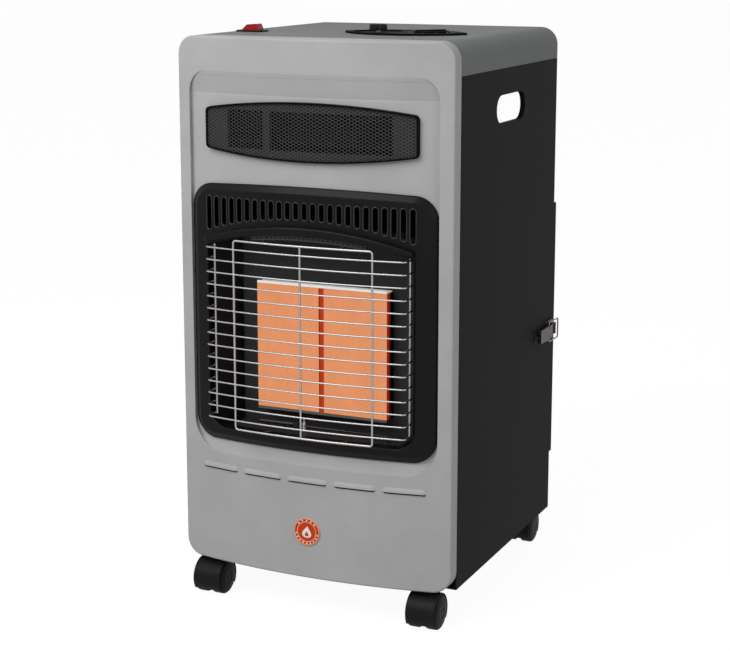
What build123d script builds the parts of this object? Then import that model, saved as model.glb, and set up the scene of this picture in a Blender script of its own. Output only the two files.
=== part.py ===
"""Portable gas cabinet heater on castors, with a fan heater above the radiant burner.

Millimetres. +Z is up, the front faces -Y, and +X is to the right as seen from the front.
The origin is on the floor, under the middle of the heater's box.
"""

from build123d import *
import math
import os

os.makedirs("parts", exist_ok=True)

# ---------------------------------------------------------------- driving dimensions
# cabinet
WIDTH = 415.0
DEPTH = 400.0  # from the edge of the front panel to the back of the side panels
CABINET_HEIGHT = 756.0
CASTOR_HEIGHT = 56.0  # floor to the underside of the cabinet
SHEET = 1.5
CORNER_RADIUS = 26.0
SKIRT_HEIGHT = 46.0  # top cover's side skirt
GAP = 0.3  # between neighbouring sheets

# front panel
FLANGE = 21.0  # panel's depth at its left and right edges
BOW = 24.4  # how far its middle stands forward of those edges
EDGE_RADIUS = 3.0
RECESS_DEPTH = 6.0
RECESS_HALF_WIDTH = 188.0
RECESS_BOTTOM = 165.0  # heights here are above the underside of the cabinet
RECESS_TOP = 709.0
RECESS_TOP_SLOPE = 31.0
RECESS_BOTTOM_SLOPE = 20.0
RECESS_TOP_CORNER = 30.0
RECESS_BOTTOM_CORNER = 48.0

# louvres under the recess
LOUVRE_COUNT = 5
LOUVRE_PITCH = 71.5
LOUVRE_WIDTH = 61.5
LOUVRE_LIP_HEIGHT = 142.0
LOUVRE_RISE = 6.5  # also the radius of its ends
LOUVRE_OUT = 2.6
LOUVRE_WALL = 1.3
LOUVRE_SLOT = 2.7

# badge
BADGE_RADIUS = 20.0
BADGE_HEIGHT = 70.0
BADGE_THICKNESS = 1.6

# mesh grille: a barrel shape with straight ends and round corners
GRILLE_CENTRE = 631.0
GRILLE_HALF_WIDTH = 159.3
GRILLE_END_HALF = 27.8
GRILLE_MIDDLE_HALF = 40.2
GRILLE_RIM = 1.8
GRILLE_CORNER = 6.5
MESH_HOLE_RADIUS = 3.3
MESH_PITCH_X = 11.6
MESH_PITCH_Z = 7.2

# black surround of the burner opening
SURROUND_HALF_WIDTH = 185.5
SURROUND_BOTTOM = 185.0
SURROUND_TOP = 557.0  # at the middle of its arched top
SURROUND_SHOULDER = 551.0  # where the arch meets the sides
SURROUND_CORNER = 33.0
SURROUND_PROUD = 2.7  # its face stands this far in front of the panel's bow
SURROUND_BEVEL = (9.0, 5.4)  # over the face, and back from it
SURROUND_WALL = 1.8
SURROUND_SEAT = 9.0  # the panel's opening is this much smaller than the surround
SLOT_COUNT = 25
SLOT_PITCH = 12.85
SLOT_WIDTH = 7.8
SLOT_TOP = 536.0
SLOT_BOTTOM_MIDDLE = 512.6
SLOT_BOTTOM_END = 488.5
OPENING_HALF_WIDTH = 158.0
OPENING_BOTTOM = 204.0
OPENING_CORNER = 28.0
OPENING_SIDE_TOP = 467.0
OPENING_MIDDLE_TOP = 491.0
OPENING_RETURN = 16.0

# arched hood over the opening
HOOD_HALF_WIDTH = 157.5
HOOD_END_TOP = 479.0
HOOD_MIDDLE_TOP = 503.5
HOOD_END_BOTTOM = 472.0
HOOD_MIDDLE_BOTTOM = 491.5
HOOD_PROUD = 13.5

# wire guard
WIRE_COUNT = 15
WIRE_PITCH = 17.4
WIRE_BOTTOM = 223.2
WIRE_RADIUS = 1.15
POST_RADIUS = 1.5
GUARD_PROUD = 19.75
GUARD_HALF_WIDTH = 151.2
GUARD_BEND = 6.0
GUARD_RETURN = 4.0  # the wires turn back to this depth behind the bow
LOOP_HALF_WIDTH = 105.0
LOOP_BOTTOM = 210.0
LOOP_TOP = 479.0
LOOP_CORNER = 4.0
POST_BOTTOM = 221.8
POST_TOP = 468.2
GUARD_LEG_X = 60.0

# burner
PLAQUE_WIDTH = 95.8
PLAQUE_BOTTOM = 231.0
PLAQUE_TOP = 409.3
PLAQUE_THICKNESS = 12.0
PLAQUE_GAP = 8.4
PLAQUE_FRONT = 3.0  # behind the edge of the front panel
PLAQUE_BARE = 9.0  # how far the plaques stand out of their housing
PLAQUE_LIP = 4.2  # height of the bright lip over them
BURNER_BACK = 22.0
REFLECTOR_FRONT_HALF = 157.0
REFLECTOR_BACK_HALF = 133.0
REFLECTOR_TOP = 493.0
REFLECTOR_SHEET = 1.2
MIXER_X = 50.0
MIXER_Z = 310.0
MIXER_RADIUS = 9.0
MIXER_BORE = 7.5

# heater above the burner
DUCT_HALF_WIDTH = 150.0
DUCT_BACK = 56.0
DUCT_HALF_HEIGHT = 46.0
DUCT_WINDOW_HALF_WIDTH = 124.0
DUCT_WINDOW_HALF_HEIGHT = 26.5
DUCT_BAR = (-66.0, -56.0)  # upright channel across the window
FAN_RADIUS = 25.0
FAN_HALF_LENGTH = 100.0
FAN_SHAFT_RADIUS = 2.5
RUNNING = 0.05  # radial clearance of a running shaft

# controls on top
CONTROL_X = 69.0
CONTROL_DEPTH = 137.0
CONTROL_HALF_LENGTH = 93.0
CONTROL_HALF_WIDTH = 55.0
CONTROL_THICKNESS = 3.0
KNOB_X = 27.5
KNOB_RADIUS = 12.7
KNOB_HEIGHT = 8.7
KNOB_TRAVEL = 3.0
KNOB_WELL_RADIUS = 35.5
WELL_DEPTH = 1.8
DIAL_X = 108.0
DIAL_RADIUS = 24.5
DIAL_RING = 27.5
DIAL_HEIGHT = 3.6
DIAL_ANGLE = 45.0
DIAL_BAR_RISE = 1.6
SHAFT_RADIUS = 3.0
ROCKER_X = -154.5
ROCKER_DEPTH = 100.0
ROCKER_BEZEL = (42.0, 24.0)
ROCKER_SIZE = (29.0, 16.0)
ROCKER_CROWN = 11.5  # height of its crown over the cover
ROCKER_PIVOT = CASTOR_HEIGHT + CABINET_HEIGHT

# side panels
HANDLE_DEPTH = 196.0
HANDLE_HEIGHT = 653.0
HANDLE_LENGTH = 118.0
HANDLE_WIDTH = 40.0
HANDLE_COLLAR = 6.0

# rear
SHIELD_DEPTH = 62.0
DOOR_PROUD = 12.3
DOOR_BOTTOM = 91.0
DOOR_TOP = 488.0
HINGE_HEIGHTS = (190.0, 460.0)
BAY_HALF_WIDTH = 170.0
BAY_BOTTOM = 100.0
BAY_TOP = 740.0
GLAND_X = -181.0
GLAND_Z = 640.0
NOZZLE_RADIUS = 4.5
NOZZLE_LENGTH = 20.0
SIDE_REACH = 8.0  # hinges and latch stand this far out of the side panels

# latch, with its lengths taken forward from the back of the side panel
LATCH_HEIGHT = 291.0
LATCH_PIVOT = 16.0
LEVER_FRONT = 72.0
LATCH_TONGUE = 84.0
LEVER_HALF_HEIGHT = 10.4
BAIL_RADIUS = 1.2

# castors
CASTOR_X = 168.0
CASTOR_TRAIL = 24.0
FRONT_SWIVEL_DEPTH = 12.0
REAR_SWIVEL_DEPTH = 361.0
WHEEL_RADIUS = 25.0
WHEEL_INNER = 5.6
WHEEL_OUTER = 22.6
STEM_RADIUS = 5.5
AXLE_RADIUS = 3.0
CASTOR_WEB = 4.6
CASTOR_HOOD_HALF = 21.5
CASTOR_HOOD_RADIUS = 27.2
CASTOR_HOOD_WALL = 1.5
CASTOR_HOOD_BOTTOM = 10.0

# ---------------------------------------------------------------- places worked out
HALF = WIDTH / 2
LIFT = CASTOR_HEIGHT
TOP = LIFT + CABINET_HEIGHT
FRONT_REACH = FLANGE + BOW + GUARD_PROUD + WIRE_RADIUS
REAR_REACH = DEPTH + DOOR_PROUD
EDGE = (FRONT_REACH - REAR_REACH) / 2  # y of the front panel's back edge
BACK = EDGE + DEPTH
BOW_RADIUS = (HALF**2 + BOW**2) / (2 * BOW)
BOW_CENTRE = EDGE - FLANGE - BOW + BOW_RADIUS
SKIRT_BOTTOM = TOP - SKIRT_HEIGHT
PANEL_BOTTOM = LIFT + 1.0
GRILLE_Z = LIFT + GRILLE_CENTRE
CONTROL_Y = EDGE + CONTROL_DEPTH
ROCKER_Y = EDGE + ROCKER_DEPTH
INNER = HALF - SHEET  # inside face of a side panel
BASE_FLOOR = LIFT + SHEET + 0.1  # underside of the base pan, on the side panels' flanges
BASE_TOP = BASE_FLOOR + 2.0
BOTTLE_STAND = 0.6  # height of the raised field that the bottle stands on
FRAME_FACE = BACK - SHEET - 0.1  # back of the rear frame


# ---------------------------------------------------------------- helpers
def front_plane(y):
    """A sketch plane facing the front at depth y: local x is X, local y is Z."""
    return Plane(origin=(0, y, 0), x_dir=(1, 0, 0), z_dir=(0, -1, 0))


def side_plane(x):
    """A sketch plane facing +X: local x is Y, local y is Z."""
    return Plane(origin=(x, 0, 0), x_dir=(0, 1, 0), z_dir=(1, 0, 0))


def bow_y(x, behind=0.0):
    """Depth of the front panel's bow at x, or of a shell that lies behind it."""
    return BOW_CENTRE - math.sqrt((BOW_RADIUS - behind) ** 2 - x**2)


def block(x, y, z, mode=Mode.ADD):
    """A box between two values on each axis."""
    middle = ((x[0] + x[1]) / 2, (y[0] + y[1]) / 2, (z[0] + z[1]) / 2)
    with Locations(middle):
        Box(x[1] - x[0], y[1] - y[0], z[1] - z[0], mode=mode)


def rod(start, end, radius, mode=Mode.ADD):
    """A round bar from one point to another."""
    line = Vector(*end) - Vector(*start)
    with BuildSketch(Plane(origin=start, z_dir=line)) as section:
        Circle(radius)
    extrude(section.sketch, amount=line.length, mode=mode)


def save(part, label):
    part.label = label
    export_step(part, f"parts/{label}.step")


def bowed_slab(front, back, half, bottom, top):
    """The space between two shells of the bow: front and back say how far behind it."""
    with BuildPart() as slab:
        with BuildSketch(Plane.XY.offset(bottom)):
            with BuildLine():
                near = ThreePointArc(
                    (-half, bow_y(half, front)), (0, bow_y(0, front)), (half, bow_y(half, front))
                )
                far = ThreePointArc(
                    (-half, bow_y(half, back)), (0, bow_y(0, back)), (half, bow_y(half, back))
                )
                Line(near @ 0, far @ 0)
                Line(near @ 1, far @ 1)
            make_face()
        extrude(amount=top - bottom)
    return slab.part


def arched(half, bottom_end, bottom_middle, top_end, top_middle):
    """A face between two arches with straight upright ends."""
    with BuildSketch() as face:
        with BuildLine():
            low = ThreePointArc((-half, bottom_end), (0, bottom_middle), (half, bottom_end))
            high = ThreePointArc((-half, top_end), (0, top_middle), (half, top_end))
            Line(low @ 0, high @ 0)
            Line(low @ 1, high @ 1)
        make_face()
    return face.sketch


def grille_outline(inset):
    """The mesh grille's barrel shape."""
    with BuildSketch() as face:
        add(
            arched(
                GRILLE_HALF_WIDTH - inset,
                GRILLE_Z - GRILLE_END_HALF + inset,
                GRILLE_Z - GRILLE_MIDDLE_HALF + inset,
                GRILLE_Z + GRILLE_END_HALF - inset,
                GRILLE_Z + GRILLE_MIDDLE_HALF - inset,
            )
        )
        fillet(face.vertices(), GRILLE_CORNER - inset)
    return face.sketch


def opening_outline(grow):
    """The burner opening: round lower corners and an arched top."""
    half = OPENING_HALF_WIDTH + grow
    bottom = LIFT + OPENING_BOTTOM - grow
    corner = OPENING_CORNER + grow
    with BuildSketch() as face:
        with BuildLine():
            arch = ThreePointArc(
                (-half, LIFT + OPENING_SIDE_TOP + grow),
                (0, LIFT + OPENING_MIDDLE_TOP + grow),
                (half, LIFT + OPENING_SIDE_TOP + grow),
            )
            FilletPolyline(arch @ 0, (-half, bottom), (half, bottom), arch @ 1, radius=corner)
        make_face()
    return face.sketch


def rounded_box(half, bottom, top, low_corner, high_corner):
    """A rectangle with its own radius for the lower and the upper corners."""
    waist = (bottom + top) / 2
    with BuildSketch() as face:
        with BuildLine():
            FilletPolyline((-half, waist), (-half, bottom), (half, bottom), (half, waist), radius=low_corner)
            FilletPolyline((-half, waist), (-half, top), (half, top), (half, waist), radius=high_corner)
        make_face()
    return face.sketch


def surround_outline(inset):
    """The surround's outline: an arched top and round corners."""
    half = SURROUND_HALF_WIDTH - inset
    bottom = LIFT + SURROUND_BOTTOM + inset
    shoulder = LIFT + SURROUND_SHOULDER - inset
    with BuildSketch() as face:
        with BuildLine():
            arch = ThreePointArc((-half, shoulder), (0, LIFT + SURROUND_TOP - inset), (half, shoulder))
            Polyline(arch @ 0, (-half, bottom), (half, bottom), arch @ 1)
        make_face()
        fillet(face.vertices(), SURROUND_CORNER - inset)
    return face.sketch


# ---------------------------------------------------------------- front panel
def panel_block(inset):
    """The panel's outer form, or its inside at a sheet's thickness."""
    half = HALF - inset
    back = EDGE if inset == 0 else EDGE + 1
    with BuildPart() as form:
        with BuildSketch(Plane.XY.offset(PANEL_BOTTOM + inset)):
            with BuildLine():
                front = ThreePointArc(
                    (-half, bow_y(half, inset)), (0, bow_y(0, inset)), (half, bow_y(half, inset))
                )
                Polyline(front @ 0, (-half, back), (half, back), front @ 1)
            make_face()
        extrude(amount=TOP - PANEL_BOTTOM - 2 * inset)
        fillet(form.edges().filter_by(Axis.Y), CORNER_RADIUS - inset)
        face = form.faces().sort_by(Axis.Y)[0]
        fillet(face.edges(), EDGE_RADIUS - inset * 0.9)
    return form.part


def recess_space(grow):
    """The space of the shallow field, with sloping upper and lower ends that follow the bow."""
    depth = RECESS_DEPTH + grow
    out = 8.0
    low = LIFT + RECESS_BOTTOM - grow
    high = LIFT + RECESS_TOP + grow
    low_run = RECESS_BOTTOM_SLOPE / RECESS_DEPTH
    high_run = RECESS_TOP_SLOPE / RECESS_DEPTH
    apex = BOW_CENTRE - BOW_RADIUS
    with BuildPart() as space:
        with BuildSketch(side_plane(0)):
            with BuildLine():
                Polyline(
                    (apex - out, low - out * low_run),
                    (apex + depth, low + depth * low_run),
                    (apex + depth, high - depth * high_run),
                    (apex - out, high + out * high_run),
                    close=True,
                )
            make_face()
        revolve(axis=Axis((0, BOW_CENTRE, 0), (0, 0, 1)), revolution_arc=360)
        with BuildSketch(front_plane(EDGE)):
            add(rounded_box(RECESS_HALF_WIDTH + grow, low, high, RECESS_BOTTOM_CORNER, RECESS_TOP_CORNER))
        extrude(amount=FRONT_REACH + out, mode=Mode.INTERSECT)
    return space.part


def louvre_form(wall):
    """Five round-ended rolls that lie behind the bow and stand out of it above the lip."""
    lip = LIFT + LOUVRE_LIP_HEIGHT
    behind = (LOUVRE_RISE**2 - LOUVRE_OUT**2) / (2 * LOUVRE_OUT)
    radius = behind + LOUVRE_OUT - wall
    length = LOUVRE_WIDTH - 2 * LOUVRE_RISE + 2 * radius
    with BuildPart() as rolls:
        for i in range(LOUVRE_COUNT):
            x = (i - (LOUVRE_COUNT - 1) / 2) * LOUVRE_PITCH
            turn = math.asin(x / BOW_RADIUS)
            centre = Vector(x, bow_y(x), lip) + Vector(-math.sin(turn), math.cos(turn), 0) * behind
            along = Vector(math.cos(turn), math.sin(turn), 0)
            with BuildSketch(Plane(origin=centre, x_dir=along, z_dir=(0, 0, 1))):
                SlotOverall(length, 2 * radius)
                with Locations((0, radius)):
                    Rectangle(length, 2 * radius, mode=Mode.SUBTRACT)
            revolve(axis=Axis(centre, along), revolution_arc=360)
        block((-HALF, HALF), (EDGE - FRONT_REACH, EDGE), (lip - 2 * radius, lip), mode=Mode.SUBTRACT)
        add(bowed_slab(-2 * LOUVRE_OUT, SHEET, HALF, lip, lip + 2 * LOUVRE_RISE), mode=Mode.INTERSECT)
    return rolls.part


panel_inside = panel_block(SHEET)
panel_recess = recess_space(0)
panel_recess_back = recess_space(SHEET)
louvres_out = louvre_form(0)
louvres_in = louvre_form(LOUVRE_WALL)

with BuildPart() as panel_cavity:
    add(panel_inside)
    add(panel_recess_back, mode=Mode.SUBTRACT)

outer_form = panel_block(0)
with BuildPart() as front_panel:
    add(outer_form)
    add(panel_recess, mode=Mode.SUBTRACT)
    add(panel_cavity.part, mode=Mode.SUBTRACT)
    # opening behind the surround
    with BuildSketch(front_plane(EDGE)):
        add(surround_outline(SURROUND_SEAT))
    extrude(amount=FRONT_REACH, mode=Mode.SUBTRACT)
    # opening behind the mesh grille
    with BuildSketch(front_plane(EDGE)):
        add(grille_outline(-0.2))
    extrude(amount=FRONT_REACH, mode=Mode.SUBTRACT)
    # louvres: pressed out over narrow slots
    add(louvres_out)
    add(louvres_in, mode=Mode.SUBTRACT)
    with BuildSketch(front_plane(EDGE - FLANGE + 2)):
        with GridLocations(LOUVRE_PITCH, 0, LOUVRE_COUNT, 1):
            with Locations((0, LIFT + LOUVRE_LIP_HEIGHT - LOUVRE_SLOT / 2)):
                Rectangle(LOUVRE_WIDTH - 4, LOUVRE_SLOT)
    extrude(amount=BOW + 8, mode=Mode.SUBTRACT)
save(front_panel.part, "front_panel")

# ---------------------------------------------------------------- badge
badge_y = bow_y(0)
panel_face = bowed_slab(0, 8, HALF, LIFT, LIFT + 2 * BADGE_HEIGHT)
with BuildPart() as badge:
    with BuildSketch(front_plane(badge_y + 1)):
        with Locations((0, LIFT + BADGE_HEIGHT)):
            Circle(BADGE_RADIUS)
    extrude(amount=BADGE_THICKNESS + 1)
    rim = badge.edges().group_by(Axis.Y)[0]
    fillet(rim, 0.6)
    # two raised rings and a round boss
    with BuildSketch(front_plane(badge_y - BADGE_THICKNESS)):
        with Locations((0, LIFT + BADGE_HEIGHT)):
            Circle(BADGE_RADIUS * 0.9)
            Circle(BADGE_RADIUS * 0.82, mode=Mode.SUBTRACT)
            Circle(BADGE_RADIUS * 0.55)
            Circle(BADGE_RADIUS * 0.48, mode=Mode.SUBTRACT)
            Circle(BADGE_RADIUS * 0.3)
    extrude(amount=0.3)
    add(panel_face, mode=Mode.SUBTRACT)
save(badge.part, "badge")

# ---------------------------------------------------------------- mesh grille
grille_depth = bowed_slab(-0.6, 7.0, HALF, GRILLE_Z - 60, GRILLE_Z + 60)
with BuildPart() as grille_frame:
    with BuildSketch(front_plane(EDGE)):
        add(grille_outline(0))
    extrude(amount=FRONT_REACH)
    with BuildSketch(front_plane(EDGE)):
        add(grille_outline(GRILLE_RIM))
    extrude(amount=FRONT_REACH, mode=Mode.SUBTRACT)
    add(grille_depth, mode=Mode.INTERSECT)
save(grille_frame.part, "grille_frame")

mesh_sheet = bowed_slab(1.2, 2.2, HALF, GRILLE_Z - 60, GRILLE_Z + 60)
mesh_columns = int(2 * GRILLE_HALF_WIDTH / MESH_PITCH_X) - 1
with BuildPart() as grille_mesh:
    with BuildSketch(front_plane(EDGE)):
        add(grille_outline(GRILLE_RIM))
        for row in range(-5, 6):
            offset_x = 0.5 * (row % 2)
            for column in range(mesh_columns):
                x = (column - (mesh_columns - 1) / 2 + offset_x) * MESH_PITCH_X
                z = row * MESH_PITCH_Z
                bulge = (GRILLE_MIDDLE_HALF - GRILLE_END_HALF) * (1 - (x / GRILLE_HALF_WIDTH) ** 2)
                margin = GRILLE_RIM + MESH_HOLE_RADIUS + 0.8
                if abs(z) < GRILLE_END_HALF + bulge - margin and abs(x) < GRILLE_HALF_WIDTH - margin:
                    with Locations((x, GRILLE_Z + z)):
                        RegularPolygon(MESH_HOLE_RADIUS, 6, mode=Mode.SUBTRACT)
    extrude(amount=FRONT_REACH)
    add(mesh_sheet, mode=Mode.INTERSECT)
save(grille_mesh.part, "grille_mesh")

# ---------------------------------------------------------------- surround
def surround_form(inset, front, bevel):
    """The surround's outer form, or its inside at the wall's thickness."""
    with BuildPart() as form:
        with BuildSketch(front_plane(EDGE)):
            add(surround_outline(inset))
        extrude(amount=FRONT_REACH)
        add(bowed_slab(front, RECESS_DEPTH - 0.1, HALF, LIFT, TOP), mode=Mode.INTERSECT)
        face = form.faces().sort_by(Axis.Y)[0]
        chamfer(face.edges(), bevel[0], bevel[1], reference=face)
    return form.part


surround_outer = surround_form(0, -SURROUND_PROUD, SURROUND_BEVEL)
inner_bevel = (SURROUND_BEVEL[0] - 0.8, SURROUND_BEVEL[1] - 0.8)
surround_inner = surround_form(2.4, -SURROUND_PROUD + SURROUND_WALL, inner_bevel)
return_depth = bowed_slab(-SURROUND_PROUD + 0.5, OPENING_RETURN, HALF, LIFT, TOP)
with BuildPart() as opening_tube:
    with BuildSketch(front_plane(EDGE + OPENING_RETURN)):
        add(opening_outline(SHEET))
    extrude(amount=FRONT_REACH + OPENING_RETURN)
    add(return_depth, mode=Mode.INTERSECT)
slot_arch = (SLOT_BOTTOM_MIDDLE - SLOT_BOTTOM_END) / ((SLOT_COUNT - 1) / 2 * SLOT_PITCH) ** 2
with BuildPart() as surround:
    add(surround_outer)
    add(surround_inner, mode=Mode.SUBTRACT)
    add(opening_tube.part)
    with BuildSketch(front_plane(EDGE + OPENING_RETURN)):
        add(opening_outline(0))
    extrude(amount=FRONT_REACH + OPENING_RETURN, mode=Mode.SUBTRACT)
    with BuildSketch(front_plane(EDGE)):
        for i in range(SLOT_COUNT):
            x = (i - (SLOT_COUNT - 1) / 2) * SLOT_PITCH
            low = SLOT_BOTTOM_MIDDLE - slot_arch * x**2
            with Locations((x, LIFT + (low + SLOT_TOP) / 2)):
                SlotOverall(SLOT_TOP - low, SLOT_WIDTH, rotation=90)
    extrude(amount=FRONT_REACH, mode=Mode.SUBTRACT)
save(surround.part, "surround")

# ---------------------------------------------------------------- hood
hood_depth = bowed_slab(-HOOD_PROUD, -SURROUND_PROUD - 0.02, HALF, LIFT, TOP)
with BuildPart() as hood:
    with BuildSketch(front_plane(EDGE)):
        add(
            arched(
                HOOD_HALF_WIDTH,
                LIFT + HOOD_END_BOTTOM,
                LIFT + HOOD_MIDDLE_BOTTOM,
                LIFT + HOOD_END_TOP,
                LIFT + HOOD_MIDDLE_TOP,
            )
        )
    extrude(amount=FRONT_REACH)
    add(hood_depth, mode=Mode.INTERSECT)
    hood_face = hood.faces().sort_by(Axis.Y)[0]
    fillet(hood_face.edges(), 1.5)
save(hood.part, "hood")

# ---------------------------------------------------------------- wire guard
def wire(path, radius):
    """A round wire along a path."""
    with BuildPart() as drawn:
        with BuildSketch(Plane(origin=path @ 0, z_dir=path % 0)):
            Circle(radius)
        sweep(path=path)
    return drawn.part


guard_shell = BOW_RADIUS + GUARD_PROUD
bend_reach = GUARD_HALF_WIDTH - GUARD_BEND
bend_y = BOW_CENTRE - math.sqrt((guard_shell - GUARD_BEND) ** 2 - bend_reach**2)
bend_lean = math.asin(bend_reach / (guard_shell - GUARD_BEND))
knee = (guard_shell * math.sin(bend_lean), BOW_CENTRE - guard_shell * math.cos(bend_lean))
bend_turn = (bend_lean - math.pi / 2) / 2
bend_middle = (bend_reach + GUARD_BEND * math.cos(bend_turn), bend_y + GUARD_BEND * math.sin(bend_turn))
return_y = bow_y(GUARD_HALF_WIDTH, GUARD_RETURN)
with BuildLine() as cross_path:
    Line((-GUARD_HALF_WIDTH, return_y), (-GUARD_HALF_WIDTH, bend_y))
    ThreePointArc((-GUARD_HALF_WIDTH, bend_y), (-bend_middle[0], bend_middle[1]), (-knee[0], knee[1]))
    ThreePointArc((-knee[0], knee[1]), (0, BOW_CENTRE - guard_shell), knee)
    ThreePointArc(knee, bend_middle, (GUARD_HALF_WIDTH, bend_y))
    Line((GUARD_HALF_WIDTH, bend_y), (GUARD_HALF_WIDTH, return_y))
cross_wire = wire(cross_path.wire(), WIRE_RADIUS)

# upper half of the loop that joins the front uprights, bent round its corners
bite = 0.4  # how deep welded wires sink into each other
loop_shell = guard_shell - WIRE_RADIUS - POST_RADIUS + bite
loop_lean = math.asin((LOOP_HALF_WIDTH - LOOP_CORNER) / loop_shell)
loop_front = BOW_CENTRE - loop_shell
loop_top = LIFT + LOOP_TOP
loop_middle = LIFT + (LOOP_TOP + LOOP_BOTTOM) / 2
along = Vector(math.cos(loop_lean), math.sin(loop_lean), 0)
turning = Vector(loop_shell * math.sin(loop_lean), BOW_CENTRE - loop_shell * math.cos(loop_lean), loop_top)
corner_centre = turning - Vector(0, 0, LOOP_CORNER)
corner_middle = corner_centre + (along + Vector(0, 0, 1)) * (LOOP_CORNER * math.sqrt(0.5))
corner_end = corner_centre + along * LOOP_CORNER
upright_foot = Vector(corner_end.X, corner_end.Y, loop_middle)


def across(point):
    return Vector(-point.X, point.Y, point.Z)


with BuildLine() as loop_path:
    Line(upright_foot, corner_end)
    ThreePointArc(corner_end, corner_middle, turning)
    ThreePointArc(turning, (0, loop_front, loop_top), across(turning))
    ThreePointArc(across(turning), across(corner_middle), across(corner_end))
    Line(across(corner_end), across(upright_foot))
upper_loop = wire(loop_path.wire(), POST_RADIUS)

arch_rise = OPENING_MIDDLE_TOP - OPENING_SIDE_TOP
opening_arch = (OPENING_HALF_WIDTH**2 + arch_rise**2) / (2 * arch_rise)
leg_top = LIFT + OPENING_MIDDLE_TOP - opening_arch + math.sqrt(opening_arch**2 - GUARD_LEG_X**2)
leg_start_y = bow_y(GUARD_LEG_X, BOW_RADIUS - loop_shell)
leg_end_y = bow_y(GUARD_LEG_X, 10.0)
post_x = GUARD_HALF_WIDTH - WIRE_RADIUS - POST_RADIUS + bite
post_y = return_y - 2.0
with BuildPart() as wire_guard:
    for i in range(WIRE_COUNT):
        add(cross_wire.moved(Location((0, 0, LIFT + WIRE_BOTTOM + i * WIRE_PITCH))))
    add(upper_loop)
    add(upper_loop.mirror(Plane.XY.offset(loop_middle)))
    rod((0, loop_front, LIFT + LOOP_BOTTOM), (0, loop_front, loop_top), POST_RADIUS)
    for side in (-1, 1):
        x = side * post_x
        rod((x, post_y, LIFT + POST_BOTTOM), (x, post_y, LIFT + POST_TOP), POST_RADIUS)
        x = side * GUARD_LEG_X
        # legs that rest on the rim of the opening
        rod((x, leg_start_y, loop_top), (x, leg_end_y, leg_top - POST_RADIUS - 0.1), POST_RADIUS)
        low = LIFT + OPENING_BOTTOM + POST_RADIUS + 0.1
        rod((x, leg_start_y, LIFT + LOOP_BOTTOM), (x, leg_end_y, low), POST_RADIUS)
save(wire_guard.part, "wire_guard")

# ---------------------------------------------------------------- reflector
def reflector_space(grow, front):
    """The splayed box behind the opening."""
    with BuildPart() as space:
        with BuildSketch(Plane.XY.offset(LIFT + OPENING_BOTTOM - grow)):
            with BuildLine():
                rim = ThreePointArc(
                    (-REFLECTOR_FRONT_HALF - grow, bow_y(REFLECTOR_FRONT_HALF, front)),
                    (0, bow_y(0, front)),
                    (REFLECTOR_FRONT_HALF + grow, bow_y(REFLECTOR_FRONT_HALF, front)),
                )
                back_y = EDGE + BURNER_BACK + grow
                Polyline(
                    rim @ 0,
                    (-REFLECTOR_FRONT_HALF - grow, EDGE - 14),
                    (-REFLECTOR_BACK_HALF - grow, back_y),
                    (REFLECTOR_BACK_HALF + grow, back_y),
                    (REFLECTOR_FRONT_HALF + grow, EDGE - 14),
                    rim @ 1,
                )
            make_face()
        extrude(amount=REFLECTOR_TOP - OPENING_BOTTOM + 2 * grow)
    return space.part


with BuildPart() as reflector:
    add(reflector_space(REFLECTOR_SHEET, OPENING_RETURN + 0.6))
    add(reflector_space(0, OPENING_RETURN - 6), mode=Mode.SUBTRACT)
    with BuildSketch(front_plane(EDGE + BURNER_BACK + 3)):
        with Locations((-MIXER_X, MIXER_Z), (MIXER_X, MIXER_Z)):
            Circle(MIXER_RADIUS + 0.3)
    extrude(amount=6, mode=Mode.SUBTRACT)
save(reflector.part, "reflector")

# ---------------------------------------------------------------- burner
plaque_bottom = LIFT + PLAQUE_BOTTOM
plaque_top = LIFT + PLAQUE_TOP
plaque_inner = PLAQUE_GAP / 2
plaque_outer = plaque_inner + PLAQUE_WIDTH
face_y = EDGE + PLAQUE_FRONT
with BuildPart() as ceramic_plaques:
    for x in ((-plaque_outer, -plaque_inner), (plaque_inner, plaque_outer)):
        block(x, (face_y, face_y + PLAQUE_THICKNESS), (plaque_bottom, plaque_top))
save(ceramic_plaques.part, "ceramic_plaques")

plaque_span = (-plaque_outer, plaque_outer)
burner_back = EDGE + BURNER_BACK - 0.1
with BuildPart() as plaque_frame:
    block(plaque_span, (face_y, burner_back), (plaque_top + 0.5, plaque_top + 2.0))
    block(plaque_span, (face_y, face_y + 1.2), (plaque_top + 0.5, plaque_top + PLAQUE_LIP))
    block(plaque_span, (face_y, burner_back), (plaque_bottom - 1.7, plaque_bottom - 0.2))
    block(plaque_span, (face_y, face_y + 1.2), (plaque_bottom - 4, plaque_bottom - 0.2))
    bar_z = (plaque_bottom - 0.2, plaque_top + 0.5)
    block((0.3 - plaque_inner, plaque_inner - 0.3), (face_y + 4, burner_back - 1.6), bar_z)
save(plaque_frame.part, "plaque_frame")

burner_half = plaque_outer + 2.0
with BuildPart() as burner_housing:
    housing_y = (face_y + PLAQUE_BARE, burner_back)
    block((-burner_half, burner_half), housing_y, (plaque_bottom, plaque_top + 0.4))
    space_z = (plaque_bottom - 1, plaque_top + 1)
    inside = plaque_outer + 0.2
    block((-inside, inside), (face_y, burner_back - 1.5), space_z, mode=Mode.SUBTRACT)
    for x in (-MIXER_X, MIXER_X):
        rod((x, burner_back - 0.5, MIXER_Z), (x, burner_back + 12, MIXER_Z), MIXER_RADIUS)
        rod((x, burner_back - 2, MIXER_Z), (x, burner_back + 13, MIXER_Z), MIXER_BORE, mode=Mode.SUBTRACT)
save(burner_housing.part, "burner_housing")

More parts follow.
